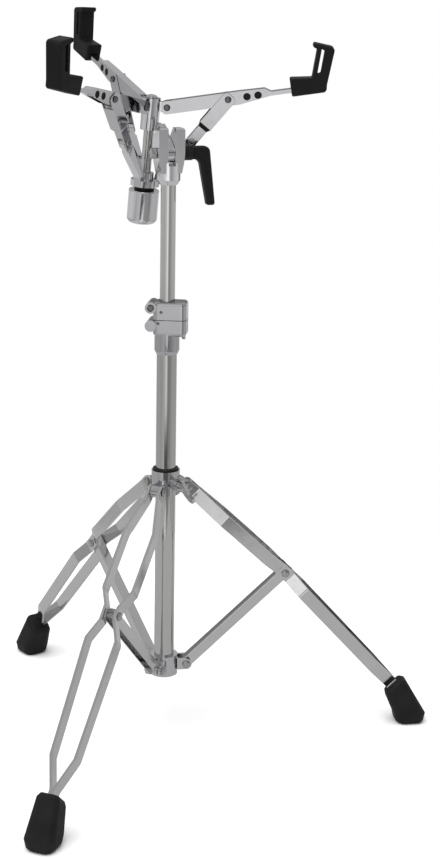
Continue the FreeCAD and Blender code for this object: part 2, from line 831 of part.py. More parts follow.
def foot(label):
    """A rubber shoe with a flat sole, drawn in the upright plane of its leg."""
    piece = Piece(label)
    sole_middle = foot_radius + v.foot_ground_reach + v.foot_ground_depth / 2

    def level(height, inset):
        shape = RoundedBox(sole_middle, 0, v.foot_ground_depth - 2 * inset,
                           v.foot_ground_width - 2 * inset, v.foot_ground_round - inset)
        return piece.sketch("XY_Plane", [shape], offset=height)

    def mouth(depth):
        spot_x = foot_radius + depth * cosine(lower_slope)
        spot_z = v.foot_entry_height - depth * sine(lower_slope)
        return ((0, 1, 0), lower_slope - QUARTER_TURN, (spot_x, ZERO, spot_z))

    def ring(depth, inset):
        shape = RoundedBox(ZERO, 0, v.foot_entry_depth - 2 * inset,
                           v.foot_entry_width - 2 * inset, v.foot_entry_round - inset)
        return piece.sketch("XY_Plane", [shape], tilt=mouth(depth))

    sole = level(ZERO, v.foot_sole_inset)
    welt = level(v.foot_flare_height * SOLE_HEIGHT_SHARE, v.foot_sole_inset * SOLE_INSET_SHARE)
    flare = level(v.foot_flare_height, ZERO)
    shoulder = ring(v.foot_entry_edge, ZERO)
    entry = ring(ZERO, v.foot_entry_inset)
    shoe = piece.feature("AdditiveLoft", sole)
    shoe.Sections = [welt, flare, shoulder, entry]
    shoe.Ruled = True
    doc.recompute()
    slot = box_outline(-foot_hole_depth / 2, -foot_hole_width / 2,
                       foot_hole_depth / 2, foot_hole_width / 2)
    piece.cut("XY_Plane", [slot], 2 * (v.strip_foot_insert + v.seat_clearance), both=True,
              tilt=mouth(ZERO))
    return keep_piece(piece)


brace_length = v.leg_upper_length


def brace(label):
    """A channel from the lower collar to the brace joint, open downwards."""
    piece = Piece(label)
    wide = v.brace_width / 2
    deep = v.brace_depth / 2
    channel = Outline((-wide, -deep), (-wide + v.brace_wall, -deep),
                      (-wide + v.brace_wall, deep - v.brace_wall),
                      (wide - v.brace_wall, deep - v.brace_wall),
                      (wide - v.brace_wall, -deep), (wide, -deep), (wide, deep), (-wide, deep))
    piece.pad("YZ_Plane", [channel], brace_length + 2 * v.brace_end_margin, offset=-v.brace_end_margin)
    high = float(brace_length)
    side = float(wide) * SIDE_SHARE
    piece.round(v.brace_wall,
                lambda edge: runs_along(edge, (1, 0, 0)) and abs(middle_of(edge).y) > side
                and middle_of(edge).z > 0)
    piece.round(v.brace_end_round,
                lambda edge: runs_along(edge, (0, 1, 0)) and middle_of(edge).z < 0
                and not 0 <= middle_of(edge).x <= high)
    piece.cut("XZ_Plane", [Disc(0, 0, pin_hole), Disc(brace_length, 0, pin_hole)],
              v.brace_width + v.cut_overrun, both=True)
    return keep_piece(piece)


for name, angle in zip(LEG_NAMES, leg_turns):
    for mark, side in (("left", 1), ("right", -1)):
        strip("leg_%s_%s_strip" % (name, mark), side).put(leg_place(angle))
    foot("foot_" + name).put(placed(0, 0, 0, turned((0, 0, 1), angle)))
    raised = turned((0, 0, 1), angle).multiply(turned((0, 1, 0), -float(v.leg_slope_angle)))
    start = radial_place(angle, v.leg_pivot_radius, brace_pivot_height).Base
    brace("brace_" + name).put(FreeCAD.Placement(start, raised))
    joint_pin = rivet("leg_%s_pin" % name, v.pivot_pin_diameter, v.pivot_head_diameter,
                      v.pivot_head_height, pinch_gap + 2 * v.strip_thickness)
    lay = FreeCAD.Placement(FreeCAD.Vector(), turned((1, 0, 0), QUARTER_TURN))
    joint_pin.put(radial_place(angle, joint_radius, joint_height).multiply(lay))
    keep_piece(joint_pin)

# Height clamp on the base tube, its bushing and its wing bolt.
clamp_bore = v.upper_tube_diameter + 2 * v.side_clearance
clamp_turn = turned((0, 0, 1), v.clamp_turn_angle)
clamp = Piece("height_clamp")
tube_seat = v.base_tube_diameter / 2 + v.seat_clearance
sleeve_radius = v.clamp_sleeve_diameter / 2
clamp_top_level = v.bushing_flange + v.clamp_block_height
block_plan = RoundedBox((v.clamp_block_right - v.clamp_block_left) / 2,
                        (v.clamp_block_back - v.clamp_block_front) / 2,
                        v.clamp_block_left + v.clamp_block_right,
                        v.clamp_block_front + v.clamp_block_back, v.clamp_corner_round)
clamp.pad("XY_Plane", [block_plan], v.clamp_block_height, offset=v.bushing_flange)
block_low = float(v.bushing_flange + v.edge_pick)
clamp.round(v.clamp_edge_round, lambda edge: middle_of(edge).z < block_low)
clamp.spin([Outline((tube_seat, -v.clamp_sleeve_length),
                    (tube_seat + v.clamp_sleeve_lip, -v.clamp_sleeve_length),
                    (sleeve_radius, v.clamp_taper_length - v.clamp_sleeve_length),
                    (sleeve_radius, v.bushing_flange + v.clamp_taper_length),
                    (tube_seat, v.bushing_flange + v.clamp_taper_length))])
barrel_level = clamp_top_level - v.lock_boss_diameter / 2
barrel_length = v.clamp_block_front + v.clamp_block_back
clamp.pad("XZ_Plane", [Disc(-v.lock_boss_offset, barrel_level, v.lock_boss_diameter)],
          barrel_length, both=True)
clamp.cut("XY_Plane", [Disc(0, 0, clamp_bore)], 2 * v.clamp_block_height + v.cut_overrun, both=True)
clamp.cut("XY_Plane", [Disc(0, 0, 2 * tube_seat)], 2 * v.bushing_flange, both=True)
slit_half = v.clamp_slit / 2
clamp.cut("XY_Plane", [box_outline(0, -slit_half, v.clamp_block_right + v.cut_overrun, slit_half)],
          v.clamp_block_height + v.cut_overrun, offset=v.bushing_flange, flip=True)
ear_middle = (v.clamp_block_right + clamp_bore / 2) / 2
clamp_level = v.bushing_flange + v.clamp_block_height / 2
clamp.cut("XZ_Plane", [Disc(ear_middle, clamp_level, wing_hole)], v.clamp_block_back + v.cut_overrun)
clamp.cut("XZ_Plane", [Disc(ear_middle, clamp_level, wing_hole)], v.clamp_block_front / 2, flip=True)
clamp.put(placed(0, 0, tube_top, clamp_turn))
keep_piece(clamp)

clamp_bushing = Piece("clamp_bushing")
slide_radius = v.upper_tube_diameter / 2 + v.running_clearance
plug_radius = base_tube_bore / 2 - v.seat_clearance
flange_radius = v.base_tube_diameter / 2
clamp_bushing.spin([Outline((slide_radius, -v.bushing_length), (plug_radius, -v.bushing_length),
                            (plug_radius, 0), (flange_radius, 0),
                            (flange_radius, v.bushing_flange), (slide_radius, v.bushing_flange))])
clamp_bushing.put(placed(0, 0, tube_top))
keep_piece(clamp_bushing)

clamp_wing = wing_bolt("clamp_wing_bolt", -v.clamp_block_front / 2 + v.side_clearance, v.clamp_block_back)
facing = turned((0, 0, 1), v.clamp_turn_angle + QUARTER_TURN)
offset = clamp_turn.multVec(spot(ear_middle, 0, 0))
clamp_wing.put(FreeCAD.Placement(offset + spot(0, 0, tube_top + clamp_level), facing))

# Memory lock: a split block on the upper tube that rests just above the clamp.
lock = Piece("memory_lock")
lock.pad("XY_Plane", [block_plan], v.lock_height)
block_high = float(v.lock_height - v.edge_pick)
lock.round(v.clamp_edge_round, lambda edge: middle_of(edge).z > block_high)
boss_level = v.lock_height - v.lock_boss_diameter / 2
lock.pad("XZ_Plane", [Disc(-v.lock_boss_offset, boss_level, v.lock_boss_diameter)],
         barrel_length, both=True)
lock.cut("XY_Plane", [Disc(0, 0, 2 * slide_radius)], 2 * v.lock_height + v.cut_overrun, both=True)
lock.cut("XY_Plane", [box_outline(-v.clamp_block_left - v.cut_overrun, -slit_half, 0, slit_half)],
         2 * v.lock_height + v.cut_overrun, both=True)
screw_hole = v.lock_screw_diameter + 2 * v.seat_clearance
head_low = v.clamp_block_front - v.lock_screw_head_height
lock.cut("XZ_Plane", [Disc(-v.lock_boss_offset, boss_level, screw_hole)], 2 * head_low, both=True)
lock.cut("XZ_Plane", [Disc(-v.lock_boss_offset, boss_level, v.lock_screw_head + 2 * v.side_clearance)],
         v.lock_screw_head_height + v.cut_overrun, offset=head_low, flip=True)
lock.put(placed(0, 0, lock_low, clamp_turn))
keep_piece(lock)

lock_screw = Piece("memory_lock_screw")
shank_end = -head_low + v.side_clearance
flange_top = head_low + v.lock_screw_flange
lock_screw.spin([Outline((0, shank_end), (v.lock_screw_diameter / 2, shank_end),
                         (v.lock_screw_diameter / 2, head_low), (v.lock_screw_head / 2, head_low),
                         (v.lock_screw_head / 2, flange_top), (0, flange_top))])
key_half = v.lock_screw_key / 2
lock_screw.pad("XY_Plane", [box_outline(-key_half, -key_half, key_half, key_half)],
               v.lock_screw_head_height, offset=head_low)
screw_at = clamp_turn.multVec(spot(-v.lock_boss_offset, 0, 0)) + spot(0, 0, lock_low + boss_level)
lock_screw.put(FreeCAD.Placement(screw_at, clamp_turn.multiply(turned((1, 0, 0), QUARTER_TURN))))
keep_piece(lock_screw)

# Tilter: a casting on the upper tube whose fork holds the tongue of the neck.
tilt_turn = turned((0, 0, 1), v.tilter_turn_angle)
tilt_frame = placed(0, 0, tilt_height, tilt_turn)
tilter = Piece("tilter_body")
tube_socket = v.upper_tube_diameter / 2 + v.seat_clearance
socket_top = -(v.tilter_fork_depth + v.tilter_taper_length)
sleeve_low = -v.tilter_axis_height
sleeve_top = sleeve_low + v.tilter_sleeve_length
tilter.spin([Outline((0, socket_top), (tube_socket, socket_top), (tube_socket, sleeve_low),
                     (tube_socket + v.tilter_sleeve_lip, sleeve_low),
                     (v.tilter_sleeve_diameter / 2, sleeve_low + v.tilter_taper_length),
                     (v.tilter_sleeve_diameter / 2, sleeve_top), (0, sleeve_top))])
side = [(v.tilter_width * across, -v.tilter_axis_height * down)
        for across, down in zip(FORK_WIDTH_SHARES, FORK_DROP_SHARES)]
side.append((v.tilter_width / 2, v.tilter_top_height))
fork_outline = Outline(*(side + [(-x, z) for x, z in reversed(side)]))
tilter.pad("XZ_Plane", [fork_outline], v.tilter_depth, both=True)
fork_top = float(v.tilter_top_height) * SIDE_SHARE
tilter.bevel(v.tilter_bevel, lambda edge: runs_along(edge, (1, 0, 0)) and middle_of(edge).z > fork_top
             and middle_of(edge).y < 0)
tilter.bevel(v.tilter_back_bevel, lambda edge: runs_along(edge, (1, 0, 0)) and middle_of(edge).z > fork_top
             and middle_of(edge).y > 0)
tilter.round(v.tilter_round, lambda edge: runs_along(edge, (0, 1, 0)) and middle_of(edge).z > fork_top)
slot_half = v.tongue_thickness / 2 + v.side_clearance
tilter.cut("XZ_Plane", [box_outline(-slot_half, -v.tilter_fork_depth, slot_half,
                                    v.tilter_top_height + v.cut_overrun)],
           v.tilter_depth + v.cut_overrun, both=True)
bolt_hole = v.tilter_bolt_diameter + 2 * v.running_clearance
tilter.cut("YZ_Plane", [Disc(0, 0, bolt_hole)], v.tilter_width + v.cut_overrun, both=True)
tilter.cut("XY_Plane", [Disc(0, 0, 2 * tube_socket)], v.tilter_axis_height, offset=socket_top)
tilter.put(tilt_frame)
keep_piece(tilter)

bolt = Piece("tilter_bolt")
bolt_start = -(v.tilter_width / 2 + v.tilter_nut_height)
lever_start = v.tilter_width / 2 + v.side_clearance
bolt_end = lever_start + v.lever_bolt_depth
bolt.pad("YZ_Plane", [Disc(0, 0, v.tilter_bolt_diameter)], bolt_end - bolt_start, offset=bolt_start)
hexagon = Outline(*[(v.tilter_nut_width * x, v.tilter_nut_width * y)
                    for x, y in zip(HEX_X_SHARES, HEX_Y_SHARES)])
bolt.pad("YZ_Plane", [hexagon], v.tilter_nut_height - v.side_clearance, offset=bolt_start)
bolt.put(tilt_frame)
keep_piece(bolt)

# Lever: a moulded handle that hangs down beside the tube, and its boss on the bolt.
lever = Piece("tilter_lever")
lever_end = lever_start + v.lever_boss_length
boss_radius = v.lever_boss_diameter / 2
bolt_seat = v.tilter_bolt_diameter / 2 + v.seat_clearance
lever_half = v.lever_arm_height / 2
grip_half = v.lever_grip_width / 2
tip_half = v.lever_tip_width / 2
tip_x = v.lever_reach + v.lever_splay
elbow = (v.lever_reach + grip_half, lever_half)
crook = (v.lever_reach - grip_half, -lever_half)
lever_tip = [(tip_x - tip_half, -v.lever_drop), (tip_x + tip_half, -v.lever_drop)]
lever.pad("XZ_Plane", [Outline((lever_start, -lever_half), crook, *lever_tip, elbow,
                               (lever_start, lever_half))],
          v.lever_thickness, both=True)
lever.round(v.lever_elbow_round, lambda edge: at_one_of(edge, [elbow, crook]))
lever.round(v.lever_corner_round, lambda edge: at_one_of(edge, lever_tip))
lever_side = float(v.lever_thickness) / 2 * SIDE_SHARE
lever_inner = float(lever_start + v.edge_pick)
lever.round(v.lever_edge_round,
            lambda edge: abs(middle_of(edge).y) > lever_side and middle_of(edge).x > lever_inner)
lever.spin([Outline((lever_start, 0), (lever_end, 0), (lever_end, boss_radius - v.lever_boss_edge),
                    (lever_end - v.lever_boss_edge, boss_radius), (lever_start, boss_radius))],
           axis="H_Axis")
lever.cut("YZ_Plane", [Disc(0, 0, 2 * bolt_seat)], bolt_end - lever_start + v.seat_clearance,
          offset=lever_start, flip=True)
lever.put(tilt_frame)
keep_piece(lever)

# Basket frame: the hub stands behind and beside the tube and leans a little.
side_lean = turned((0, 1, 0), v.basket_side_lean_angle)
basket_turn = side_lean.multiply(turned((1, 0, 0), v.basket_front_lean_angle))
basket_spot = spot(-v.basket_left, v.basket_back, tilt_height + v.basket_rise)
basket_frame = FreeCAD.Placement(basket_spot, basket_turn)

# Neck: tongue, arm and boss, cast in one.
tongue = Piece("neck_tongue")
tongue.pad("YZ_Plane", [Disc(0, 0, v.tongue_diameter)], v.tongue_thickness, both=True)
tongue_half = v.tongue_diameter / 2
neck_half = v.neck_arm_diameter / 2
boss_back = v.basket_left * sine(v.tilter_turn_angle) + v.basket_back * cosine(v.tilter_turn_angle)
boss_up = v.basket_rise - v.hub_below - v.neck_boss_height / 2
boss_away = root(boss_back * boss_back + boss_up * boss_up)
along_back = boss_back / boss_away
along_up = boss_up / boss_away
plate_back = boss_back * NECK_PLATE_SHARE
plate_up = boss_up * NECK_PLATE_SHARE
tongue.pad("YZ_Plane", [Outline((tongue_half * along_up, -tongue_half * along_back),
                                (plate_back + neck_half * along_up, plate_up - neck_half * along_back),
                                (plate_back - neck_half * along_up, plate_up + neck_half * along_back),
                                (-tongue_half * along_up, tongue_half * along_back))],
           v.tongue_thickness, both=True)
tongue.cut("YZ_Plane", [Disc(0, 0, bolt_hole)], v.tilter_width, both=True)
tongue.put(tilt_frame)
neck_boss = doc.addObject("Part::Cylinder", "neck_boss")
neck_boss.setExpression("Radius", (v.neck_boss_diameter / 2).text)
neck_boss.setExpression("Height", v.neck_boss_height.text)
neck_low = -(v.hub_below + v.neck_boss_height)
neck_boss.Placement = basket_frame.multiply(placed(0, 0, neck_low))
neck_middle = basket_frame.multVec(spot(0, 0, neck_low + v.neck_boss_height / 2))
neck_start = tilt_frame.multVec(spot(0, plate_back, plate_up))
reach = neck_middle - neck_start
neck_arm = doc.addObject("Part::Cone", "neck_arm")
neck_arm.setExpression("Radius1", (v.tongue_thickness / 2).text)
neck_arm.setExpression("Radius2", (v.neck_arm_diameter / 2).text)
neck_arm.Height = reach.Length
neck_arm.Placement = FreeCAD.Placement(neck_start, FreeCAD.Rotation(FreeCAD.Vector(0, 0, 1), reach))
neck_joined = doc.addObject("Part::MultiFuse", "neck_joined")
neck_joined.Shapes = [tongue.body, neck_arm, neck_boss]
neck_bore = doc.addObject("Part::Cylinder", "neck_bore")
neck_bore.setExpression("Radius", (v.shaft_diameter / 2 + v.seat_clearance).text)
neck_bore.setExpression("Height", (v.neck_boss_height + 2 * v.seat_clearance).text)
neck_bore.Placement = basket_frame.multiply(placed(0, 0, neck_low - v.seat_clearance))
neck = doc.addObject("Part::Cut", "tilter_neck")
neck.Base = neck_joined
neck.Tool = neck_bore
neck.Label = "tilter_neck"
keep("tilter_neck", neck)

# Hub with three lugs, and the shaft through it.
basket_hole = v.basket_pin_diameter + 2 * v.running_clearance
hub = Piece("basket_hub")
hub.pad("XY_Plane", [Disc(0, 0, v.hub_diameter)], v.hub_above + v.hub_below, offset=-v.hub_below)
hub_lug = hub.pad("XZ_Plane", [Tongue(0, v.hub_pivot_radius, v.hub_lug_height)],
                  v.hub_lug_thickness, both=True)
hub_hole = hub.cut("XZ_Plane", [Disc(v.hub_pivot_radius, 0, basket_hole)], v.hub_diameter, both=True)
hub.around([hub_lug, hub_hole], ARMS)
shaft_bore = v.shaft_diameter + 2 * v.seat_clearance
hub.cut("XY_Plane", [Disc(0, 0, shaft_bore)], 2 * (v.hub_above + v.hub_below), both=True)
hub.put(basket_frame)
keep_piece(hub)

shaft = Piece("basket_shaft")
shaft.pad("XY_Plane", [Disc(0, 0, v.shaft_diameter)], v.shaft_length + v.hub_above, offset=-v.shaft_length)
shaft.put(basket_frame)
keep_piece(shaft)

cap = Piece("hub_cap")
cap_radius = v.hub_cap_diameter / 2
dome = [(cap_radius * across, v.hub_above + v.hub_cap_height * up)
        for across, up in zip(CAP_RADIUS_SHARES, CAP_HEIGHT_SHARES)]
cap.spin([Outline((0, v.hub_above), (cap_radius, v.hub_above), (cap_radius, v.hub_above + v.hub_cap_edge),
                  *dome, (0, v.hub_above + v.hub_cap_height))])
cap.put(basket_frame)
keep_piece(cap)

arm_turns = [FULL_TURN / ARMS * here for here in range(ARMS)]


def arm_place(angle):
    local = radial_place(angle, v.hub_pivot_radius, 0)
    lean = FreeCAD.Placement(FreeCAD.Vector(), turned((0, 1, 0), -float(v.arm_slope_angle)))
    return basket_frame.multiply(local).multiply(lean)


hub_pin_span = v.arm_width + 2 * v.side_clearance
rivet_group("hub_pins",
            [basket_frame.multiply(radial_place(angle, v.hub_pivot_radius, 0)) for angle in arm_turns],
            v.basket_pin_diameter, v.basket_head_diameter, v.basket_head_height, hub_pin_span)

# Arms: channels open downwards that taper to a flat bar.
arm_gap = v.arm_width - 2 * v.arm_wall
bar_half = v.arm_bar_thickness / 2
arm_half = v.arm_height / 2
bar_end = v.arm_length + v.arm_bar_insert
arm_reach = v.arm_length - v.arm_strut_length


def along_arm(share):
    return v.arm_strut_length + arm_reach * share


def arm(label):
    piece = Piece(label)
    taper, shoulder, neck_x = [along_arm(share) for share in ARM_TAPER_SHARES]
    piece.pad("XZ_Plane", [Outline((-v.arm_end_margin, -arm_half), (taper, -arm_half), (neck_x, -bar_half),
                                   (bar_end, -bar_half), (bar_end, bar_half),
                                   (neck_x + v.arm_wall, bar_half), (shoulder, arm_half - v.arm_wall / 2),
                                   (taper, arm_half), (-v.arm_end_margin, arm_half))],
              v.arm_width, both=True)
    piece.round(v.arm_end_round,
                lambda edge: runs_along(edge, (0, 1, 0)) and middle_of(edge).x < 0)
    under = arm_half - v.arm_wall
    open_to = v.arm_end_margin + v.side_clearance
    past = v.cut_overrun
    root_x = shoulder - v.arm_wall
    piece.cut("XZ_Plane", [Outline((-past, -past), (root_x, -past), (root_x, under - v.arm_wall),
                                   (taper, under), (open_to, under), (open_to, past), (-past, past))],
              arm_gap, both=True)
    holes = [Disc(0, 0, basket_hole), Disc(v.arm_strut_length, 0, basket_hole)]
    piece.cut("XZ_Plane", holes, v.arm_width + v.cut_overrun, both=True)
    window = arm_reach * ARM_HOLE_WIDTH_SHARE
    holes = [Disc(along_arm(share), v.arm_hole_lift, window) for share in ARM_HOLE_SHARES]
    piece.cut("XZ_Plane", holes, v.arm_width + v.cut_overrun, both=True)
    return keep_piece(piece)


def arm_insert(label):
    """A block inside the arm, behind its two round windows."""
    piece = Piece(label)
    half = v.arm_insert_height / 2
    start, end = [along_arm(share) for share in ARM_INSERT_SHARES]
    piece.pad("XZ_Plane", [box_outline(start, v.arm_hole_lift - half, end, v.arm_hole_lift + half)],
              arm_gap - 2 * v.seat_clearance, both=True)
    return keep_piece(piece)


# Rubber tips: a foot under the drum and a slotted wall against its hoop.
def tip(label):
    piece = Piece(label)
    start = v.arm_length - v.arm_bar_thickness / 2
    lean = tangent(v.tip_wall_lean_angle)
    wall_x = start + v.tip_wall_start
    foot_top = v.tip_foot_above - v.tip_round
    wall_top = foot_top + v.tip_wall_height
    cap_top = wall_top + v.tip_cap_thickness
    slot_x = wall_x + v.tip_wall_thickness
    back_x = slot_x + v.tip_slot_width
    outer_x = back_x + v.tip_back_thickness
    corner = start + v.tip_foot_length
    drop = lean * v.tip_back_thickness

    def at(base, height):
        return base + lean * (height - foot_top)

    sole = -v.tip_foot_below
    heel = sole + v.tip_round
    keel = (corner, sole)
    crown = (at(outer_x, cap_top - 2 * drop), cap_top - 2 * drop)
    brow = (at(wall_x, cap_top) - v.tip_lip, cap_top + drop / 2)
    noses = [(start, sole), (start, v.tip_foot_above), brow]
    shape = Outline(noses[0], keel, (at(outer_x, heel), heel + 2 * v.tip_round), crown, brow,
                    (at(wall_x, wall_top) - v.tip_lip, wall_top + drop),
                    (at(wall_x, wall_top), wall_top), (wall_x, foot_top), noses[1])
    low = foot_top + v.tip_round
    slot = Outline((at(slot_x, low), low), (at(back_x, low), low),
                   (at(back_x, wall_top - drop), wall_top - drop), (at(slot_x, wall_top), wall_top))
    piece.pad("XZ_Plane", [shape], v.tip_width, both=True)
    piece.round(v.tip_corner_round, lambda edge: at_one_of(edge, [keel, crown]))
    piece.round(v.tip_edge_round, lambda edge: at_one_of(edge, noses))
    side = float(v.tip_width) / 2 * SIDE_SHARE
    piece.round(v.tip_edge_round, lambda edge: abs(middle_of(edge).y) > side)
    piece.cut("XZ_Plane", [slot], v.tip_width + v.cut_overrun, both=True)
    hole = box_outline(-v.arm_width / 2 - v.seat_clearance, -bar_half - v.seat_clearance,
                       v.arm_width / 2 + v.seat_clearance, bar_half + v.seat_clearance)
    piece.cut("YZ_Plane", [hole], bar_end + v.seat_clearance, flip=True)
    return keep_piece(piece)


# Struts: channels that straddle the arm above and the spider eye below.
strut_top_gap = v.arm_width + 2 * v.side_clearance
strut_low_gap = v.spider_eye_thickness + 2 * v.side_clearance
hang_radius = v.hub_pivot_radius + v.arm_strut_length * cosine(v.arm_slope_angle)
hang_height = v.arm_strut_length * sine(v.arm_slope_angle)
strut_run = hang_radius - v.spider_pivot_radius
strut_fall = hang_height + v.spider_pivot_drop
strut_length = root(strut_run * strut_run + strut_fall * strut_fall)
strut_angle = math.degrees(math.atan2(-float(strut_fall), -float(strut_run)))


def strut_plan(top, low, start, end):
    first = strut_length * STRUT_STEP_SHARES[0]
    second = strut_length * STRUT_STEP_SHARES[1]
    side = [(start, top), (first, top), (second, low), (end, low)]
    return Outline(*(side + [(x, -y) for x, y in reversed(side)]))


def strut(label):
    piece = Piece(label)
    end = strut_length + v.strut_end_margin
    piece.pad("XY_Plane", [strut_plan(strut_top_gap / 2 + v.strut_wall, strut_low_gap / 2 + v.strut_wall,
                                      -v.strut_end_margin, end)], v.strut_depth, both=True)
    ends = float(strut_length)
    piece.round(v.strut_end_round,
                lambda edge: runs_along(edge, (0, 1, 0))
                and (middle_of(edge).x < 0 or middle_of(edge).x > ends))
    first = strut_length * STRUT_STEP_SHARES[0]
    second = strut_length * STRUT_STEP_SHARES[1]
    deep = v.strut_depth / 2
    shallow = v.strut_low_depth / 2
    past = strut_length + v.cut_overrun
    ledges = [Outline((first, deep * side), (second, shallow * side), (past, shallow * side),
                      (past, (deep + v.cut_overrun) * side), (first, (deep + v.cut_overrun) * side))
              for side in (1, -1)]
    piece.cut("XZ_Plane", ledges, 2 * strut_top_gap, both=True)
    inner = strut_plan(strut_top_gap / 2, strut_low_gap / 2, -v.cut_overrun, past)
    piece.cut("XY_Plane", [inner], v.strut_depth, offset=shallow - v.strut_wall)
    wide = strut_top_gap / 2
    narrow = strut_low_gap / 2
    piece.cut("XY_Plane", [box_outline(-v.cut_overrun, -wide, first, wide)], v.strut_depth,
              offset=deep - v.strut_wall)
    piece.cut("XY_Plane", [box_outline(-v.cut_overrun, -wide, strut_length * STRUT_WEB_SHARES[0], wide)],
              2 * v.strut_depth, both=True)
    piece.cut("XY_Plane", [box_outline(strut_length * STRUT_WEB_SHARES[1], -narrow,
                                       strut_length + v.cut_overrun, narrow)], 2 * v.strut_depth, both=True)
    piece.cut("XZ_Plane", [Disc(0, 0, basket_hole), Disc(strut_length, 0, basket_hole)],
              2 * strut_top_gap, both=True)
    return keep_piece(piece)


def strut_place(angle):
    local = radial_place(angle, hang_radius, hang_height)
    lean = FreeCAD.Placement(FreeCAD.Vector(), turned((0, 1, 0), -strut_angle))
    return basket_frame.multiply(local).multiply(lean)


def strut_rivets(label, place):
    """Two short studs in the side walls at the lower end of a strut."""
    parts = []
    inner = strut_low_gap / 2
    outer = inner + v.strut_wall
    shank = v.basket_pin_diameter / 2
    head = v.basket_head_diameter / 2
    edge = v.basket_head_height / 2
    for mark, side in (("a", -QUARTER_TURN), ("b", QUARTER_TURN)):
        one = Piece(label + "_" + mark)
        one.spin([Outline((0, inner), (shank, inner), (shank, outer), (head, outer), (head, outer + edge),
                          (head - edge, outer + 2 * edge), (0, outer + 2 * edge))])
        lay = FreeCAD.Placement(spot(strut_length, 0, 0), turned((1, 0, 0), side))
        one.put(place.multiply(lay))
        parts.append(one.body)
    group = doc.addObject("Part::Compound", label)
    group.Label = label
    group.Links = parts
    keep(label, group)


for name, angle in zip(ARM_NAMES, arm_turns):
    arm("basket_arm_" + name).put(arm_place(angle))
    arm_insert("arm_insert_" + name).put(arm_place(angle))
    tip("basket_tip_" + name).put(arm_place(angle))
    strut("strut_" + name).put(strut_place(angle))
    arm_pin = rivet("arm_%s_pin" % name, v.basket_pin_diameter, v.basket_head_diameter,
                    v.basket_head_height, strut_top_gap + 2 * v.strut_wall + 2 * v.side_clearance)
    lay = FreeCAD.Placement(FreeCAD.Vector(), turned((1, 0, 0), QUARTER_TURN))
    hung = basket_frame.multiply(radial_place(angle, hang_radius, hang_height))
    arm_pin.put(hung.multiply(lay))
    keep_piece(arm_pin)
    strut_rivets("strut_%s_rivets" % name, strut_place(angle))

# Spider: a sleeve on the shaft with three arms that carry the struts.
spider_low = -(v.spider_pivot_drop + v.spider_height)
spider = Piece("spider")
spider.pad("XY_Plane", [Disc(0, 0, v.spider_base_diameter)], v.spider_base_height, offset=spider_low)
spider.pad("XY_Plane", [Disc(0, 0, v.spider_sleeve_diameter)], v.spider_sleeve_height, offset=spider_low)
outer_edge = [(v.spider_pivot_radius * across, spider_low + v.spider_height * up)
              for across, up in zip(SPIDER_OUTER_RADIUS_SHARES, SPIDER_OUTER_HEIGHT_SHARES)]
inner_edge = [(v.spider_pivot_radius * across, spider_low + v.spider_height * up)
              for across, up in zip(SPIDER_INNER_RADIUS_SHARES, SPIDER_INNER_HEIGHT_SHARES)]
limb = spider.pad("XZ_Plane", [Outline(*(outer_edge + inner_edge))], v.spider_arm_thickness, both=True)
eye_half = v.spider_eye_thickness / 2
relief = Disc(v.spider_pivot_radius, -v.spider_pivot_drop, v.spider_eye_diameter + 2 * v.strut_end_margin)
relief_front = spider.cut("XZ_Plane", [relief], v.spider_arm_thickness, offset=eye_half, flip=True)
relief_back = spider.cut("XZ_Plane", [relief], v.spider_arm_thickness, offset=-eye_half)
eye = spider.pad("XZ_Plane", [Disc(v.spider_pivot_radius, -v.spider_pivot_drop, v.spider_eye_diameter)],
                 v.spider_eye_thickness, both=True)
eye_hole = spider.cut("XZ_Plane", [Disc(v.spider_pivot_radius, -v.spider_pivot_drop, basket_hole)],
                      v.spider_arm_thickness, both=True)
spider.around([limb, relief_front, relief_back, eye, eye_hole], ARMS)
slide_bore = v.shaft_diameter + 2 * v.running_clearance
spider.cut("XY_Plane", [Disc(0, 0, slide_bore)], 2 * v.spider_height + v.cut_overrun,
           offset=spider_low, both=True)
spider.put(basket_frame)
keep_piece(spider)

washer = Piece("spider_washer")
washer_low = spider_low - v.washer_height
washer.pad("XY_Plane", [Disc(0, 0, v.washer_diameter), Disc(0, 0, v.shaft_diameter + 2 * v.side_clearance)],
           v.washer_height, offset=washer_low)
washer.put(basket_frame)
keep_piece(washer)

nut = Piece("basket_nut")
nut_low = washer_low - v.nut_height
nut_radius = v.nut_diameter / 2
nut_bore = v.shaft_diameter / 2 + v.running_clearance
nut.spin([Outline((nut_bore, nut_low), (nut_radius, nut_low), (nut_radius, washer_low - v.nut_edge),
                  (nut_radius - v.nut_edge, washer_low), (nut_bore, washer_low))])
nut_foot = float(nut_low + v.edge_pick)
nut_wide = float(v.nut_diameter) * SIDE_SHARE
nut.round(v.nut_round, lambda edge: edge.Closed and middle_of(edge).z < nut_foot
          and edge.BoundBox.XLength > nut_wide)
nut.put(basket_frame)
keep_piece(nut)

doc.recompute()
os.makedirs("parts", exist_ok=True)
faults = [item.Label for item in doc.Objects
          if any(word in item.State for word in ("Invalid", "Error"))]
if faults:
    raise RuntimeError("features that failed: " + ", ".join(faults))
for label, item in nodes:
    shape = item.Shape
    if shape.isNull() or not shape.isValid() or not shape.Solids:
        raise RuntimeError("no sound solid: " + label)
    shape.exportStep("parts/" + label + ".step")
print(len(nodes), "nodes")
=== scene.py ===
"""Looks of a chrome snare drum stand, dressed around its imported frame."""

import json
import logging
import math
from dataclasses import dataclass
from enum import Enum
from typing import Iterable

import bmesh
import bpy
from mathutils import Matrix, Vector

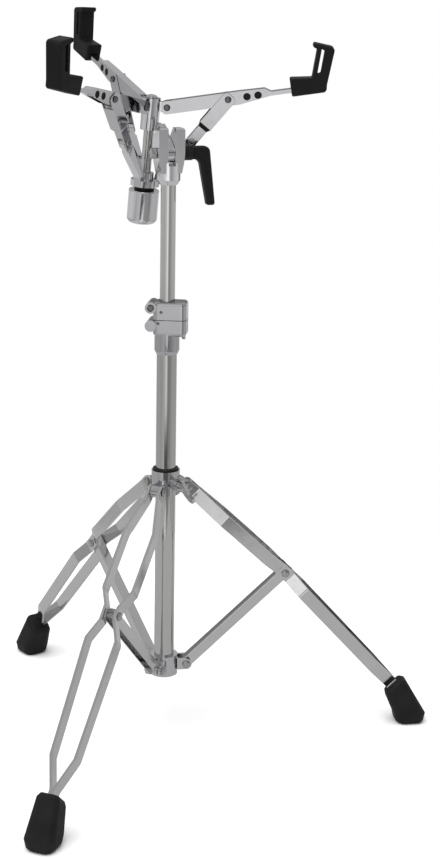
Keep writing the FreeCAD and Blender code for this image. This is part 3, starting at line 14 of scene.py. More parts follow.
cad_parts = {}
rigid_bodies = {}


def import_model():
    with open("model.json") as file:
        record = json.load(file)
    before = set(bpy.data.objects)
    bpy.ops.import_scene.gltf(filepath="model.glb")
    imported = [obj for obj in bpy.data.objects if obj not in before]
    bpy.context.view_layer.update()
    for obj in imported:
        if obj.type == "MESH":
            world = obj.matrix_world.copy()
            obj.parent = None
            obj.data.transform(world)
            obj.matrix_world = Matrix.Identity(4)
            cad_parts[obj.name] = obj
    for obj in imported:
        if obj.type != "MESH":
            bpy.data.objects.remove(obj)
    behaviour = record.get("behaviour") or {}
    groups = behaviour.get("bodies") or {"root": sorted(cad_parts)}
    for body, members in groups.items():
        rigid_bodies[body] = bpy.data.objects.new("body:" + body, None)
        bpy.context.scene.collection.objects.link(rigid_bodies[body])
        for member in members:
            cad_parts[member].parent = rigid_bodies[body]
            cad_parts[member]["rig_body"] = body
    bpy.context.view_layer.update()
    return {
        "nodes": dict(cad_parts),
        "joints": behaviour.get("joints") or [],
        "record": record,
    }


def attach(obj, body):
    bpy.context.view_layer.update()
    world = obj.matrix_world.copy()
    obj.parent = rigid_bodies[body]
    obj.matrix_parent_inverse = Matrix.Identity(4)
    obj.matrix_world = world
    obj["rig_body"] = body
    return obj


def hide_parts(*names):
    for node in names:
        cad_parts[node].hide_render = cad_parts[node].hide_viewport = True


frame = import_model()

LOG = logging.getLogger("snare_stand")
MM = 0.001
LEGS = ("right", "rear", "front")
Color = tuple[float, float, float]
Span = tuple[float, float]
Stops = tuple[Span, ...]
Head = tuple[Vector, Vector]
Inputs = dict[str | int, object]


class Slot(str, Enum):
    """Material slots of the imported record."""

    TUBE = "chrome_tube"
    STRIP = "chrome_strip"
    CASTING = "chrome_casting"
    PLATED = "plated_steel"
    RUBBER = "black_rubber"
    HANDLE = "black_handle"
    NYLON = "black_nylon"


class Grain(str, Enum):
    """Direction in which the polishing lines of a plated piece run."""

    EVEN = "even"
    UPRIGHT = "upright"


class Kind(str, Enum):
    """Kinds of socket on the node groups."""

    VECTOR = "NodeSocketVector"
    COLOR = "NodeSocketColor"
    FLOAT = "NodeSocketFloat"
    MATERIAL = "NodeSocketMaterial"
    GEOMETRY = "NodeSocketGeometry"


# Textures of the plating and of the mouldings.
LOOK_OUTPUTS = {"Color": Kind.COLOR, "Roughness": Kind.FLOAT, "Height": Kind.FLOAT}
CLOUD_DETAIL = 3.0
LINE_SCALE = 90.0
LINE_DETAIL = 4.0
LINE_STRETCH = {Grain.EVEN: (1.0, 1.0, 1.0), Grain.UPRIGHT: (1.0, 1.0, 0.04)}
HAZE_FROM, HAZE_TO = 0.3, 0.75
PLATE_DEPTH = 0.05 * MM
DUST_SCALE = 45.0
DUST_DETAIL = 5.0
DUST_FROM, DUST_TO = 0.42, 0.72
SKIN_DEPTH = 0.15 * MM
SKIN_SPECULAR = 0.25

# Cleaning, breaking and shading of edges, with angles in degrees, and faces of the domes.
MERGE_DISTANCE = 0.001 * MM
FLAT_ANGLE = 0.4
BEVEL_ANGLE = 32.0
FACE_WEIGHT = 70
DOME_SEGMENTS = 24
DOME_RINGS = 12


def feed(node: bpy.types.Node, inputs: Inputs) -> None:
    """Set or link the inputs of a node.

    Args:
        node: The node.
        inputs: Name or number of each input, to the value or the socket that feeds it.
    """
    for key, source in inputs.items():
        if isinstance(source, bpy.types.NodeSocket):
            node.id_data.links.new(source, node.inputs[key])
        else:
            node.inputs[key].default_value = source


def add_node(tree: bpy.types.NodeTree, kind: str, inputs: Inputs | None = None,
             **options: object) -> bpy.types.Node:
    """Add a node to a tree.

    Args:
        tree: The node tree.
        kind: Type of the node.
        inputs: Name or number of each input, to the value or the socket that feeds it.
        options: Properties of the node, which are set before its inputs.

    Returns:
        The new node.
    """
    node = tree.nodes.new(kind)
    for name, value in options.items():
        setattr(node, name, value)
    feed(node, inputs or {})
    return node


def add_sockets(tree: bpy.types.NodeTree, inputs: dict[str, Kind],
                outputs: dict[str, Kind]) -> tuple[bpy.types.Node, bpy.types.Node]:
    """Give an empty node group its named sockets.

    Args:
        tree: The group.
        inputs: Name of each input, to its kind.
        outputs: Name of each output, to its kind.

    Returns:
        The group's input node and output node.
    """
    for way, sockets in (("INPUT", inputs), ("OUTPUT", outputs)):
        for label, kind in sockets.items():
            tree.interface.new_socket(label, in_out=way, socket_type=kind.value)
    return add_node(tree, "NodeGroupInput"), add_node(tree, "NodeGroupOutput")


def plating_group() -> bpy.types.NodeTree:
    """Build the shared look of chrome plate: cloudy tone, haze and fine polishing lines.

    Returns:
        A group that puts out a colour, a roughness and a height.
    """
    tree = bpy.data.node_groups.new("chrome_plate", "ShaderNodeTree")
    start, end = add_sockets(tree, {
        "Vector": Kind.VECTOR, "Bright": Kind.COLOR, "Dull": Kind.COLOR, "Cloud Scale": Kind.FLOAT,
        "Line Stretch": Kind.VECTOR, "Clear": Kind.FLOAT, "Hazy": Kind.FLOAT}, LOOK_OUTPUTS)
    given = start.outputs
    cloud = add_node(tree, "ShaderNodeTexNoise", {
        "Vector": given["Vector"], "Scale": given["Cloud Scale"], "Detail": CLOUD_DETAIL})
    tone = add_node(tree, "ShaderNodeMix", {
        "Factor": cloud.outputs["Fac"], "A": given["Dull"], "B": given["Bright"]}, data_type="RGBA")
    stretch = add_node(tree, "ShaderNodeVectorMath", {
        0: given["Vector"], 1: given["Line Stretch"]}, operation="MULTIPLY")
    lines = add_node(tree, "ShaderNodeTexNoise", {
        "Vector": stretch.outputs["Vector"], "Scale": LINE_SCALE, "Detail": LINE_DETAIL})
    haze = add_node(tree, "ShaderNodeMapRange", {
        "Value": lines.outputs["Fac"], "From Min": HAZE_FROM, "From Max": HAZE_TO,
        "To Min": given["Clear"], "To Max": given["Hazy"]})
    feed(end, {"Color": tone.outputs["Result"], "Roughness": haze.outputs["Result"],
               "Height": lines.outputs["Fac"]})
    return tree


def moulding_group() -> bpy.types.NodeTree:
    """Build the shared look of black mouldings: a pebbled skin with dusty and worn patches.

    Returns:
        A group that puts out a colour, a roughness and a height.
    """
    tree = bpy.data.node_groups.new("moulded_skin", "ShaderNodeTree")
    start, end = add_sockets(tree, {
        "Vector": Kind.VECTOR, "Skin": Kind.COLOR, "Dust": Kind.COLOR, "Pebble Scale": Kind.FLOAT,
        "Smooth": Kind.FLOAT, "Rough": Kind.FLOAT}, LOOK_OUTPUTS)
    given = start.outputs
    patch = add_node(tree, "ShaderNodeTexNoise", {
        "Vector": given["Vector"], "Scale": DUST_SCALE, "Detail": DUST_DETAIL})
    amount = add_node(tree, "ShaderNodeMapRange", {
        "Value": patch.outputs["Fac"], "From Min": DUST_FROM, "From Max": DUST_TO})
    tone = add_node(tree, "ShaderNodeMix", {
        "Factor": amount.outputs["Result"], "A": given["Skin"], "B": given["Dust"]}, data_type="RGBA")
    shine = add_node(tree, "ShaderNodeMapRange", {
        "Value": amount.outputs["Result"], "To Min": given["Smooth"], "To Max": given["Rough"]})
    pebble = add_node(tree, "ShaderNodeTexVoronoi", {
        "Vector": given["Vector"], "Scale": given["Pebble Scale"]})
    feed(end, {"Color": tone.outputs["Result"], "Roughness": shine.outputs["Result"],
               "Height": pebble.outputs["Distance"]})
    return tree


def rgba(color: Color) -> tuple[float, float, float, float]:
    """Give a colour its full alpha."""
    return (*color, 1.0)


def grey(tone: float, blue: float = 0.0) -> Color:
    """Give a grey with a little more or less blue."""
    return (tone, tone, tone + blue)


def finish_material(name: str, group: bpy.types.NodeTree, relief: Span, look: Inputs,
                    shading: Inputs) -> bpy.types.Material:
    """Make a material whose colour, roughness and bump come from a shared group.

    Args:
        name: Name of the material.
        group: Shader group with Color, Roughness and Height outputs.
        relief: Strength of the bump, and its depth in metres.
        look: Inputs of the group.
        shading: Further inputs of the Principled shader.

    Returns:
        The new material.
    """
    material = bpy.data.materials.new(name)
    material.use_nodes = True
    tree = material.node_tree
    place = add_node(tree, "ShaderNodeTexCoord")
    surface = add_node(tree, "ShaderNodeGroup", {
        "Vector": place.outputs["Object"], **look}, node_tree=group)
    strength, depth = relief
    bump = add_node(tree, "ShaderNodeBump", {
        "Strength": strength, "Distance": depth, "Height": surface.outputs["Height"]})
    feed(tree.nodes["Principled BSDF"], {
        "Base Color": surface.outputs["Color"], "Roughness": surface.outputs["Roughness"],
        "Normal": bump.outputs["Normal"], **shading})
    return material


@dataclass(frozen=True)
class ChromeFinish:
    """Polished chrome plate, of a whole slot or of some of its nodes alone."""

    name: str
    slot: Slot
    bright: Color
    dull: Color
    clear: float
    hazy: float
    cloud_scale: float
    nodes: tuple[str, ...] = ()
    grain: Grain = Grain.EVEN
    bump: float = 0.05

    def material(self, group: bpy.types.NodeTree) -> bpy.types.Material:
        """Make the material of this finish.

        Args:
            group: The shared plating group.

        Returns:
            The new material.
        """
        look = {"Bright": rgba(self.bright), "Dull": rgba(self.dull), "Cloud Scale": self.cloud_scale,
                "Clear": self.clear, "Hazy": self.hazy, "Line Stretch": LINE_STRETCH[self.grain]}
        return finish_material(self.name, group, (self.bump, PLATE_DEPTH), look, {"Metallic": 1.0})


@dataclass(frozen=True)
class MouldedFinish:
    """Black rubber or plastic from a mould."""

    name: str
    slot: Slot
    skin: Color
    dust: Color
    smooth: float
    rough: float
    pebble_scale: float
    bump: float
    nodes: tuple[str, ...] = ()

    def material(self, group: bpy.types.NodeTree) -> bpy.types.Material:
        """Make the material of this finish.

        Args:
            group: The shared moulding group.

        Returns:
            The new material.
        """
        look = {"Skin": rgba(self.skin), "Dust": rgba(self.dust), "Smooth": self.smooth,
                "Rough": self.rough, "Pebble Scale": self.pebble_scale}
        shading = {"Specular IOR Level": SKIN_SPECULAR}
        return finish_material(self.name, group, (self.bump, SKIN_DEPTH), look, shading)


CHROMES = (
    ChromeFinish("tube_chrome", Slot.TUBE, grey(0.61, -0.01), grey(0.56, -0.01), 0.03, 0.09, 9.0,
                 grain=Grain.UPRIGHT),
    ChromeFinish("strip_chrome", Slot.STRIP, grey(0.69), grey(0.61), 0.07, 0.16, 12.0),
    ChromeFinish("sheet_chrome", Slot.CASTING, grey(0.64, 0.02), grey(0.57, 0.01), 0.03, 0.09, 30.0),
    ChromeFinish("bright_casting", Slot.CASTING, grey(0.80, 0.02), grey(0.72, 0.02), 0.03, 0.10, 30.0,
                 ("tilter_body", "tilter_neck", "basket_hub", "spider", "basket_nut")),
    ChromeFinish("satin_casting", Slot.CASTING, grey(0.57, 0.015), grey(0.51, 0.015), 0.06, 0.16, 30.0,
                 ("height_clamp", "memory_lock")),
    ChromeFinish("rivet_steel", Slot.PLATED, grey(0.52, -0.01), grey(0.42, -0.01), 0.16, 0.30, 60.0),
    # Dark steel, and on the clamp's grub heads a painted shade of their screw holes.
    ChromeFinish("dark_steel_and_hole_shade", Slot.PLATED, grey(0.24), grey(0.17), 0.20, 0.36, 60.0,
                 ("memory_lock_screw", "hub_pins", "arm_right_pin", "arm_rear_pin", "arm_front_pin")),
)
MOULDINGS = (
    MouldedFinish("tip_rubber", Slot.RUBBER, grey(0.006), grey(0.011), 0.50, 0.70, 700.0, 0.25),
    MouldedFinish("lever_black", Slot.HANDLE, grey(0.008), grey(0.013), 0.36, 0.52, 1100.0, 0.15),
    MouldedFinish("bushing_nylon", Slot.NYLON, grey(0.008), grey(0.016), 0.42, 0.60, 1300.0, 0.10),
)


class Wardrobe:
    """All finishes of the stand, by name, by slot and by node."""

    def __init__(self) -> None:
        """Build both shared groups and every material."""
        plate = plating_group()
        skin = moulding_group()
        made = [(finish, finish.material(plate)) for finish in CHROMES]
        made += [(finish, finish.material(skin)) for finish in MOULDINGS]
        self.named = {finish.name: material for finish, material in made}
        self.plain = {finish.slot: material for finish, material in made if not finish.nodes}
        self.special = {node: material for finish, material in made for node in finish.nodes}
        self.slots = {part["node"]: Slot(part["material_slot"]) for part in frame["record"]["subparts"]}

    def dress(self, piece: bpy.types.Object, node: str) -> None:
        """Give a piece the material of a node, all over."""
        piece.data.materials.clear()
        piece.data.materials.append(self.special.get(node, self.plain[self.slots[node]]))


def joint_place(name: str) -> tuple[Vector, Vector]:
    """Find a joint of the frame.

    Args:
        name: Name of the joint.

    Returns:
        A point on the joint's axis and the axis.
    """
    joint = next(item for item in frame["joints"] if item["name"] == name)
    return Vector(joint.get("pos_m", (0.0, 0.0, 0.0))), Vector(joint["axis"]).normalized()


def body_of(node: str) -> str:
    """Name the body that a CAD node belongs to."""
    return frame["nodes"][node]["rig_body"]


def shown(mesh: bpy.types.Mesh, name: str) -> bpy.types.Object:
    """Put a mesh into the scene as an object at the origin.

    Args:
        mesh: The mesh.
        name: Name of the new object.

    Returns:
        The new object.
    """
    piece = bpy.data.objects.new(name, mesh)
    bpy.context.scene.collection.objects.link(piece)
    return piece


def baked(piece: bpy.types.Object) -> bpy.types.Object:
    """Turn the evaluated result of a piece's modifiers into its plain mesh.

    Args:
        piece: Object with live modifiers.

    Returns:
        The same object, with its modifiers gone.
    """
    graph = bpy.context.evaluated_depsgraph_get()
    mesh = bpy.data.meshes.new_from_object(piece.evaluated_get(graph))
    mesh.name = piece.name
    piece.modifiers.clear()
    piece.data = mesh
    return piece


def smooth(mesh: bpy.types.Mesh, degrees: float) -> None:
    """Shade a mesh smooth, with creases past an angle."""
    mesh.shade_smooth()
    mesh.set_sharp_from_angle(angle=math.radians(degrees))


@dataclass(frozen=True)
class Edge:
    """Broken edges of a piece.

    Attributes:
        width: Width of an edge, in metres.
        rows: Rows of faces across an edge.
        crease: Angle past which an edge stays sharp, in degrees.
    """

    width: float
    rows: int = 2
    crease: float = 40.0


def softened(node: str, edge: Edge) -> bpy.types.Object:
    """Copy a CAD node and break its sharp edges, as plating and moulding do.

    Args:
        node: Name of the CAD node.
        edge: How its edges are broken and shaded.

    Returns:
        The new piece.
    """
    mesh = frame["nodes"][node].data.copy()
    work = bmesh.new()
    work.from_mesh(mesh)
    bmesh.ops.remove_doubles(work, verts=work.verts, dist=MERGE_DISTANCE)
    bmesh.ops.dissolve_limit(work, angle_limit=math.radians(FLAT_ANGLE),
                             verts=work.verts, edges=work.edges)
    work.to_mesh(mesh)
    work.free()
    piece = shown(mesh, node + "_finished")
    bevel = piece.modifiers.new("edge", "BEVEL")
    bevel.width = edge.width
    bevel.segments = edge.rows
    bevel.limit_method = "ANGLE"
    bevel.angle_limit = math.radians(BEVEL_ANGLE)
    baked(piece)
    smooth(piece.data, edge.crease)
    weigh = piece.modifiers.new("weigh", "WEIGHTED_NORMAL")
    weigh.weight = FACE_WEIGHT
    weigh.keep_sharp = True
    return baked(piece)


@dataclass(frozen=True)
class Dome:
    """Shape of a domed head, in metres, and the name of its finish."""

    radius: float
    height: float
    finish: str


@dataclass(frozen=True)
class HeadRow:
    """Like heads on one body, with the place and the direction of each."""

    name: str
    body: str
    heads: tuple[Head, ...]
    dome: Dome


def pin_heads(joints: Iterable[str], reach: float, repeats: int) -> tuple[Head, ...]:
    """Find both ends of the pins in some joints.

    Args:
        joints: Names of the joints that the pins run through.
        reach: Distance from the middle of a pin to the face of its head, in metres.
        repeats: Number of like pins, evenly round the column, that each joint stands for.

    Returns:
        Place and direction of each head.
    """
    heads = []
    for name in joints:
        middle, axis = joint_place(name)
        for step in range(repeats):
            spin = Matrix.Rotation(2 * math.pi * step / repeats, 3, "Z")
            heads += [(spin @ (middle + way * reach), spin @ way) for way in (axis, -axis)]
    return tuple(heads)


def face_head(joint: str, across: float, up: float, reach: float) -> Head:
    """Find a place on an upright face that a joint's axis points out of.

    Args:
        joint: Name of the joint.
        across: Distance from the axis along the face, in metres.
        up: Distance from the axis upwards, in metres.
        reach: Distance from the joint's middle out to the face, in metres.

    Returns:
        Place and direction of the head.
    """
    middle, axis = joint_place(joint)
    upright = Vector((0.0, 0.0, 1.0))
    return middle + upright.cross(axis) * across + upright * up + axis * reach, axis


def rivet_row(body: str, dome: Dome, reach: float, joints: Iterable[str], repeats: int = 1) -> HeadRow:
    """Give the rivet heads on a body.

    Args:
        body: Name of the body that the heads ride.
        dome: Shape and finish of the heads.
        reach: Distance from the middle of a pin to the face of its head, in metres.
        joints: Names of the joints that the pins run through.
        repeats: Number of like pins, evenly round the column, that each joint stands for.

    Returns:
        The row of heads.
    """
    return HeadRow(f"{body}_rivets", body, pin_heads(joints, reach, repeats), dome)


@dataclass(frozen=True)
class HeadSizes:
    """Domes of the rivets and the clamp's grub screws, and where their faces lie from the joints. The
    grub heads are dark as a painted shade of the screw holes they sit in.
    """

    collar_reach: float = 12.8 * MM
    leg_reach: float = 12.3 * MM
    upper_reach: float = 11.7 * MM
    arm_reach: float = 9.7 * MM
    hub_reach: float = 7.9 * MM
    clamp_reach: float = 16.0 * MM
    lock_spot: Span = (13.3 * MM, -5.0 * MM)
    clamp_spot: Span = (9.5 * MM, -19.1 * MM)
    tripod: Dome = Dome(4.2 * MM, 0.8 * MM, "rivet_steel")
    basket: Dome = Dome(3.4 * MM, 0.7 * MM, "dark_steel_and_hole_shade")
    # The grub heads' dark finish is painted shade of the screw holes, on a real screw head.
    grub: Dome = Dome(2.0 * MM, 0.5 * MM, "dark_steel_and_hole_shade")

    def grub_row(self, body: str, spot: Span) -> HeadRow:
        """Give the grub screw on the front face of a clamp piece, its dark dome a painted shade of the
        screw hole.
        """
        head = face_head("lock_screw_turn", *spot, self.clamp_reach)
        return HeadRow(f"{body}_grub", body, (head,), self.grub)

    def rows(self) -> list[HeadRow]:
        """List the rows of heads.

        Returns:
            One row for each kind of head on a body.
        """
        forks = ("tripod_fold", "brace_rear_fold", "brace_front_fold")
        hubs = ("basket_close", "arm_rear_close", "arm_front_close")
        rows = [
            rivet_row("base", self.tripod, self.collar_reach, forks),
            rivet_row("leg_collar", self.tripod, self.upper_reach, ("leg_collar_lift",), len(LEGS)),
            rivet_row("neck", self.basket, self.hub_reach, hubs),
            self.grub_row("lock", self.lock_spot),
            self.grub_row("base", self.clamp_spot),
        ]
        for leg in LEGS:
            rows.append(rivet_row(f"leg_{leg}", self.tripod, self.leg_reach, (f"leg_{leg}_fold",)))
            rows.append(rivet_row(f"arm_{leg}", self.basket, self.arm_reach, (f"strut_{leg}_swing",)))
        return rows


def dome_tree() -> bpy.types.NodeTree:
    """Build the node tree that sets a dome on each point, facing along its attribute.

    Returns:
        A geometry node tree with inputs for radius, height and finish.
    """
    tree = bpy.data.node_groups.new("head_domes", "GeometryNodeTree")
    start, end = add_sockets(tree, {
        "Geometry": Kind.GEOMETRY, "Radius": Kind.FLOAT, "Height": Kind.FLOAT,
        "Finish": Kind.MATERIAL}, {"Geometry": Kind.GEOMETRY})
    given = start.outputs
    ball = add_node(tree, "GeometryNodeMeshUVSphere", {
        "Segments": DOME_SEGMENTS, "Rings": DOME_RINGS, "Radius": 1.0})
    scale = add_node(tree, "ShaderNodeCombineXYZ", {
        "X": given["Radius"], "Y": given["Radius"], "Z": given["Height"]})
    flat = add_node(tree, "GeometryNodeTransform", {
        "Geometry": ball.outputs["Mesh"], "Scale": scale.outputs["Vector"]})
    facing = add_node(tree, "GeometryNodeInputNamedAttribute", {
        "Name": "facing"}, data_type="FLOAT_VECTOR")
    align = add_node(tree, "FunctionNodeAlignRotationToVector", {
        "Vector": facing.outputs["Attribute"]}, axis="Z")
    spread = add_node(tree, "GeometryNodeInstanceOnPoints", {
        "Points": given["Geometry"], "Instance": flat.outputs["Geometry"],
        "Rotation": align.outputs["Rotation"]})
    real = add_node(tree, "GeometryNodeRealizeInstances", {"Geometry": spread.outputs["Instances"]})
    shade = add_node(tree, "GeometryNodeSetShadeSmooth", {"Geometry": real.outputs["Geometry"]})
    paint = add_node(tree, "GeometryNodeSetMaterial", {
        "Geometry": shade.outputs["Geometry"], "Material": given["Finish"]})
    feed(end, {"Geometry": paint.outputs["Geometry"]})
    return tree


def socket_key(tree: bpy.types.NodeTree, label: str) -> str:
    """Give the identifier of a tree's named input."""
    return next(item.identifier for item in tree.interface.items_tree
                if item.name == label and item.in_out == "INPUT")


class Heads:
    """Sets the domed heads of rivets and grub screws."""

    def __init__(self, wardrobe: Wardrobe) -> None:
        """Build the shared node tree."""
        self.wardrobe = wardrobe
        self.tree = dome_tree()

    def set_row(self, row: HeadRow) -> None:
        """Set the domes of one row, as one piece that rides the row's body.

        Args:
            row: Body, places and shape of the domes.
        """
        mesh = bpy.data.meshes.new(row.name)
        mesh.from_pydata([place for place, _ in row.heads], [], [])
        facing = mesh.attributes.new("facing", "FLOAT_VECTOR", "POINT")
        for item, (_, way) in zip(facing.data, row.heads):
            item.vector = way
        piece = shown(mesh, row.name)
        domes = piece.modifiers.new("domes", "NODES")
        domes.node_group = self.tree
        domes[socket_key(self.tree, "Radius")] = row.dome.radius
        domes[socket_key(self.tree, "Height")] = row.dome.height
        domes[socket_key(self.tree, "Finish")] = self.wardrobe.named[row.dome.finish]
        baked(piece)
        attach(piece, row.body)
        LOG.info("%s ride on %s", row.name, row.body)


@dataclass
class SubAssembly:
    """A group of pieces that are dressed together."""

    wardrobe: Wardrobe

    def place(self, piece: bpy.types.Object, node: str) -> None:
        """Dress a piece, let it stand for a CAD node and ride its body.

        Args:
            piece: The finished piece.
            node: CAD node that it stands for.
        """
        self.wardrobe.dress(piece, node)
        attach(piece, body_of(node))
        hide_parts(node)
        LOG.info("%s stands for %s", piece.name, node)

    def soften(self, edge: Edge, *nodes: str) -> None:
        """Replace CAD nodes by copies with broken edges, each in its own finish."""
        for node in nodes:
            self.place(softened(node, edge), node)


@dataclass
class Tripod(SubAssembly):
    """Collars, braces, strips, feet and the wing bolt below the column."""

    strip: Edge = Edge(0.5 * MM)
    bent_strip: Edge = Edge(0.5 * MM, crease=8.0)
    collar: Edge = Edge(0.9 * MM, rows=3)
    foot: Edge = Edge(3.2 * MM, rows=4, crease=60.0)
    wing: Edge = Edge(1.2 * MM, rows=3)

    def build(self) -> None:
        """Dress every piece of the tripod."""
        for leg in LEGS:
            self.soften(self.bent_strip, f"leg_{leg}_left_strip", f"leg_{leg}_right_strip")
            self.soften(self.strip, f"brace_{leg}")
            self.soften(self.foot, f"foot_{leg}")
            self.soften(self.strip, f"leg_{leg}_pin")
        self.soften(self.collar, "brace_collar", "leg_collar")
        self.soften(self.strip, "leg_collar_bushing", "leg_collar_pins", "brace_collar_pins")
        self.soften(self.wing, "leg_wing_bolt")


@dataclass
class Column(SubAssembly):
    """Tubes, height clamp and memory lock."""

    tube: Edge = Edge(0.4 * MM)
    clamp: Edge = Edge(1.2 * MM, rows=3)
    wing: Edge = Edge(1.2 * MM, rows=3)

    def build(self) -> None:
        """Dress every piece of the column."""
        self.soften(self.tube, "base_tube", "upper_tube", "clamp_bushing", "memory_lock_screw")
        self.soften(self.clamp, "height_clamp", "memory_lock")
        self.soften(self.wing, "clamp_wing_bolt")


@dataclass
class Tilter(SubAssembly):
    """Fork, bolt, neck and the black lever."""

    casting: Edge = Edge(1.4 * MM, rows=3)
    bolt: Edge = Edge(0.5 * MM)
    lever: Edge = Edge(1.4 * MM, rows=3, crease=60.0)

    def build(self) -> None:
        """Dress every piece of the tilter."""
        self.soften(self.casting, "tilter_body", "tilter_neck")
        self.soften(self.bolt, "tilter_bolt")
        self.soften(self.lever, "tilter_lever")


@dataclass
class Basket(SubAssembly):
    """Hub, shaft, arms with tips, struts, spider, washer and nut."""

    sheet: Edge = Edge(0.35 * MM)
    strut: Edge = Edge(0.35 * MM, crease=8.0)
    tip: Edge = Edge(1.6 * MM, rows=4, crease=60.0)
    casting: Edge = Edge(1.2 * MM, rows=3)
    nut: Edge = Edge(0.6 * MM, rows=3)

    def build(self) -> None:
        """Dress every piece of the basket."""
        for arm in LEGS:
            self.soften(self.sheet, f"basket_arm_{arm}")
            self.soften(self.strut, f"strut_{arm}")
            self.soften(self.sheet, f"arm_{arm}_pin", f"strut_{arm}_rivets", f"arm_insert_{arm}")
            self.soften(self.tip, f"basket_tip_{arm}")
        self.soften(self.casting, "basket_hub", "spider")
        self.soften(self.sheet, "hub_cap", "hub_pins", "basket_shaft", "spider_washer")
        self.soften(self.nut, "basket_nut")


def grey_ramp(share: bpy.types.NodeSocket, stops: Stops) -> bpy.types.NodeSocket:
    """Add a ramp of greys to a node tree.

    Args:
        share: Value from 0 to 1 that the ramp follows.
        stops: Position and tone of each stop.

    Returns:
        The colour that the ramp puts out.
    """
    ramp = add_node(share.id_data, "ShaderNodeValToRGB", {"Fac": share})
    band = ramp.color_ramp
    band.interpolation = "EASE"
    while len(band.elements) < len(stops):
        band.elements.new(1.0)
    for element, (where, tone) in zip(band.elements, stops):
        element.position = where
        element.color = rgba(grey(tone))
    return ramp.outputs["Color"]


@dataclass(frozen=True)
class WallPatch:
    """A part of the studio's walls: tones from side to side, times tones from bottom to top."""

    walls: Stops
    levels: Stops

    def tone(self, around: bpy.types.NodeSocket, upwards: bpy.types.NodeSocket) -> bpy.types.NodeSocket:
        """Add the patch to the world's nodes.

        Args:
            around: Share of a turn about the stand.
            upwards: Share of the way from straight down to straight up.

        Returns:
            The tone of the patch.
        """
        patch = add_node(around.id_data, "ShaderNodeVectorMath", {
            0: grey_ramp(around, self.walls), 1: grey_ramp(upwards, self.levels)}, operation="MULTIPLY")
        return patch.outputs["Vector"]


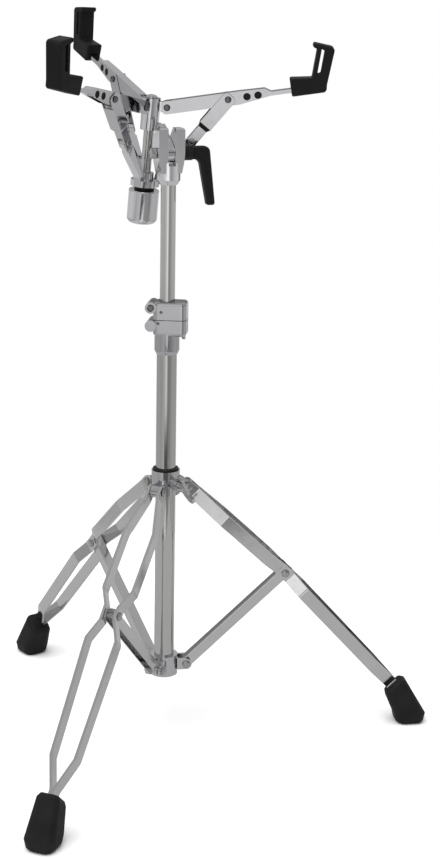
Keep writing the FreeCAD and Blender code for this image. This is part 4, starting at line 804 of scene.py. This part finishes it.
@dataclass(frozen=True)
class Studio:
    """Pale floor, soft light, grey surroundings and the camera, in metres and degrees."""

    image_height: int = 858
    focal_pixels: float = 1675.5
    sensor: float = 36.0
    shift: float = -0.20
    view_end: float = 100.0
    camera_place: tuple[float, float, float] = (0.0475, -2.0582, 0.9619)
    pitch_down: float = 9.261
    yaw_right: float = 0.487
    roll: float = 0.849
    floor_reach: float = 0.8
    floor_tone: Color = grey(0.93)
    floor_mirrored: Color = grey(0.40)
    floor_roughness: float = 0.9
    sun_energy: float = 3.3
    sun_spread: float = 70.0
    sun_turns: Span = (18.0, -12.0)
    backdrop: Color = grey(1.0)
    brightness: float = 2.4
    room: WallPatch = WallPatch(
        walls=((0.0, 0.52), (0.014, 0.54), (0.04, 0.38), (0.09, 0.30), (0.16, 0.25), (0.25, 0.28),
               (0.36, 0.26), (0.5, 0.32), (0.66, 0.27), (0.78, 0.28), (0.86, 0.22), (0.91, 0.16),
               (0.955, 0.19), (0.985, 0.42), (1.0, 0.52)),
        levels=((0.0, 0.56), (0.30, 0.68), (0.36, 0.75), (0.395, 0.72), (0.415, 0.92), (0.445, 0.97),
                (0.47, 0.75), (0.49, 0.75), (0.54, 0.34), (0.61, 0.30), (0.70, 0.75), (1.0, 0.75)))
    front_box: WallPatch = WallPatch(
        walls=((0.0, 0.0), (0.015, 0.0), (0.035, 1.0), (0.06, 1.0), (0.085, 0.0), (1.0, 0.0)),
        levels=((0.0, 0.0), (0.59, 0.0), (0.61, 0.36), (0.66, 0.36), (0.69, 0.0), (1.0, 0.0)))
    side_box: WallPatch = WallPatch(
        walls=((0.0, 0.0), (0.15, 0.0), (0.18, 1.0), (0.215, 1.0), (0.245, 0.0), (1.0, 0.0)),
        levels=((0.0, 0.0), (0.535, 0.0), (0.56, 0.09), (0.60, 0.09), (0.63, 0.0), (1.0, 0.0)))
    flag: WallPatch = WallPatch(
        walls=((0.0, 1.0), (0.03, 1.0), (0.075, 0.0), (0.925, 0.0), (0.965, 1.0), (1.0, 1.0)),
        levels=((0.0, 0.0), (0.347, 0.0), (0.353, 1.0), (0.363, 1.0), (0.377, 0.0), (1.0, 0.0)))
    flag_tone: Color = grey(0.03)

    def build(self) -> None:
        """Set up floor, light, surroundings and camera."""
        self.lay_floor()
        self.light()
        self.surround()
        self.aim()

    def lay_floor(self) -> None:
        """Lay a plain floor under the feet, which looks darker in the plating than to the camera."""
        reach = self.floor_reach
        corners = ((-reach, -reach), (reach, -reach), (reach, reach), (-reach, reach))
        mesh = bpy.data.meshes.new("floor")
        mesh.from_pydata([(x, y, 0.0) for x, y in corners], [], [(0, 1, 2, 3)])
        floor = shown(mesh, "floor")
        paint = bpy.data.materials.new("floor_paint")
        paint.use_nodes = True
        tree = paint.node_tree
        path = add_node(tree, "ShaderNodeLightPath")
        tone = add_node(tree, "ShaderNodeMix", {
            "Factor": path.outputs["Is Glossy Ray"], "A": rgba(self.floor_tone),
            "B": rgba(self.floor_mirrored)}, data_type="RGBA")
        feed(tree.nodes["Principled BSDF"], {
            "Base Color": tone.outputs["Result"], "Roughness": self.floor_roughness})
        mesh.materials.append(paint)

    def light(self) -> None:
        """Hang one broad soft sun that no plated face mirrors."""
        sun = bpy.data.lights.new("soft_sun", "SUN")
        sun.energy = self.sun_energy
        sun.angle = math.radians(self.sun_spread)
        high = bpy.data.objects.new("soft_sun", sun)
        high.rotation_euler = (*map(math.radians, self.sun_turns), 0.0)
        high.visible_glossy = False
        bpy.context.scene.collection.objects.link(high)

    def surround(self) -> None:
        """Surround the stand with a grey studio: uneven walls, two light boxes and a dark flag."""
        world = bpy.data.worlds.new("studio")
        bpy.context.scene.world = world
        world.use_nodes = True
        tree = world.node_tree
        tree.nodes.clear()
        place = add_node(tree, "ShaderNodeTexCoord")
        split = add_node(tree, "ShaderNodeSeparateXYZ", {"Vector": place.outputs["Generated"]})
        turn = add_node(tree, "ShaderNodeMath", {
            0: split.outputs["X"], 1: split.outputs["Y"]}, operation="ARCTAN2")
        share = add_node(tree, "ShaderNodeMapRange", {
            "Value": turn.outputs["Value"], "From Min": -math.pi, "From Max": math.pi})
        height = add_node(tree, "ShaderNodeMapRange", {
            "Value": split.outputs["Z"], "From Min": -1.0, "From Max": 1.0})
        around, upwards = share.outputs["Result"], height.outputs["Result"]
        tone = self.room.tone(around, upwards)
        for box in (self.front_box, self.side_box):
            lit = add_node(tree, "ShaderNodeVectorMath", {
                0: tone, 1: box.tone(around, upwards)}, operation="ADD")
            tone = lit.outputs["Vector"]
        flagged = add_node(tree, "ShaderNodeMix", {
            "Factor": self.flag.tone(around, upwards), "A": tone,
            "B": rgba(self.flag_tone)}, data_type="RGBA")
        room = add_node(tree, "ShaderNodeBackground", {
            "Color": flagged.outputs["Result"], "Strength": self.brightness})
        plain = add_node(tree, "ShaderNodeBackground", {"Color": rgba(self.backdrop)})
        path = add_node(tree, "ShaderNodeLightPath")
        pick = add_node(tree, "ShaderNodeMixShader", {
            "Fac": path.outputs["Is Camera Ray"], 1: room.outputs["Background"],
            2: plain.outputs["Background"]})
        add_node(tree, "ShaderNodeOutputWorld", {"Surface": pick.outputs["Shader"]})

    def aim(self) -> None:
        """Put the camera where the photograph was taken from."""
        lens = bpy.data.cameras.new("camera")
        lens.sensor_width = self.sensor
        lens.lens = self.focal_pixels / self.image_height * self.sensor
        lens.shift_y = self.shift
        lens.clip_end = self.view_end
        camera = bpy.data.objects.new("camera", lens)
        turn = (Matrix.Rotation(math.radians(-self.yaw_right), 3, "Z")
                @ Matrix.Rotation(math.radians(90.0 - self.pitch_down), 3, "X")
                @ Matrix.Rotation(math.radians(self.roll), 3, "Z"))
        camera.matrix_world = Matrix.Translation(self.camera_place) @ turn.to_4x4()
        bpy.context.scene.collection.objects.link(camera)
        bpy.context.scene.camera = camera


def main() -> None:
    """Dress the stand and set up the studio."""
    logging.basicConfig(level=logging.INFO, format="%(name)s: %(message)s")
    bpy.context.scene.view_settings.view_transform = "Standard"
    wardrobe = Wardrobe()
    for assembly in (Tripod(wardrobe), Column(wardrobe), Tilter(wardrobe), Basket(wardrobe)):
        assembly.build()
    heads = Heads(wardrobe)
    for row in HeadSizes().rows():
        heads.set_row(row)
    Studio().build()


if __name__ == "__main__":
    main()
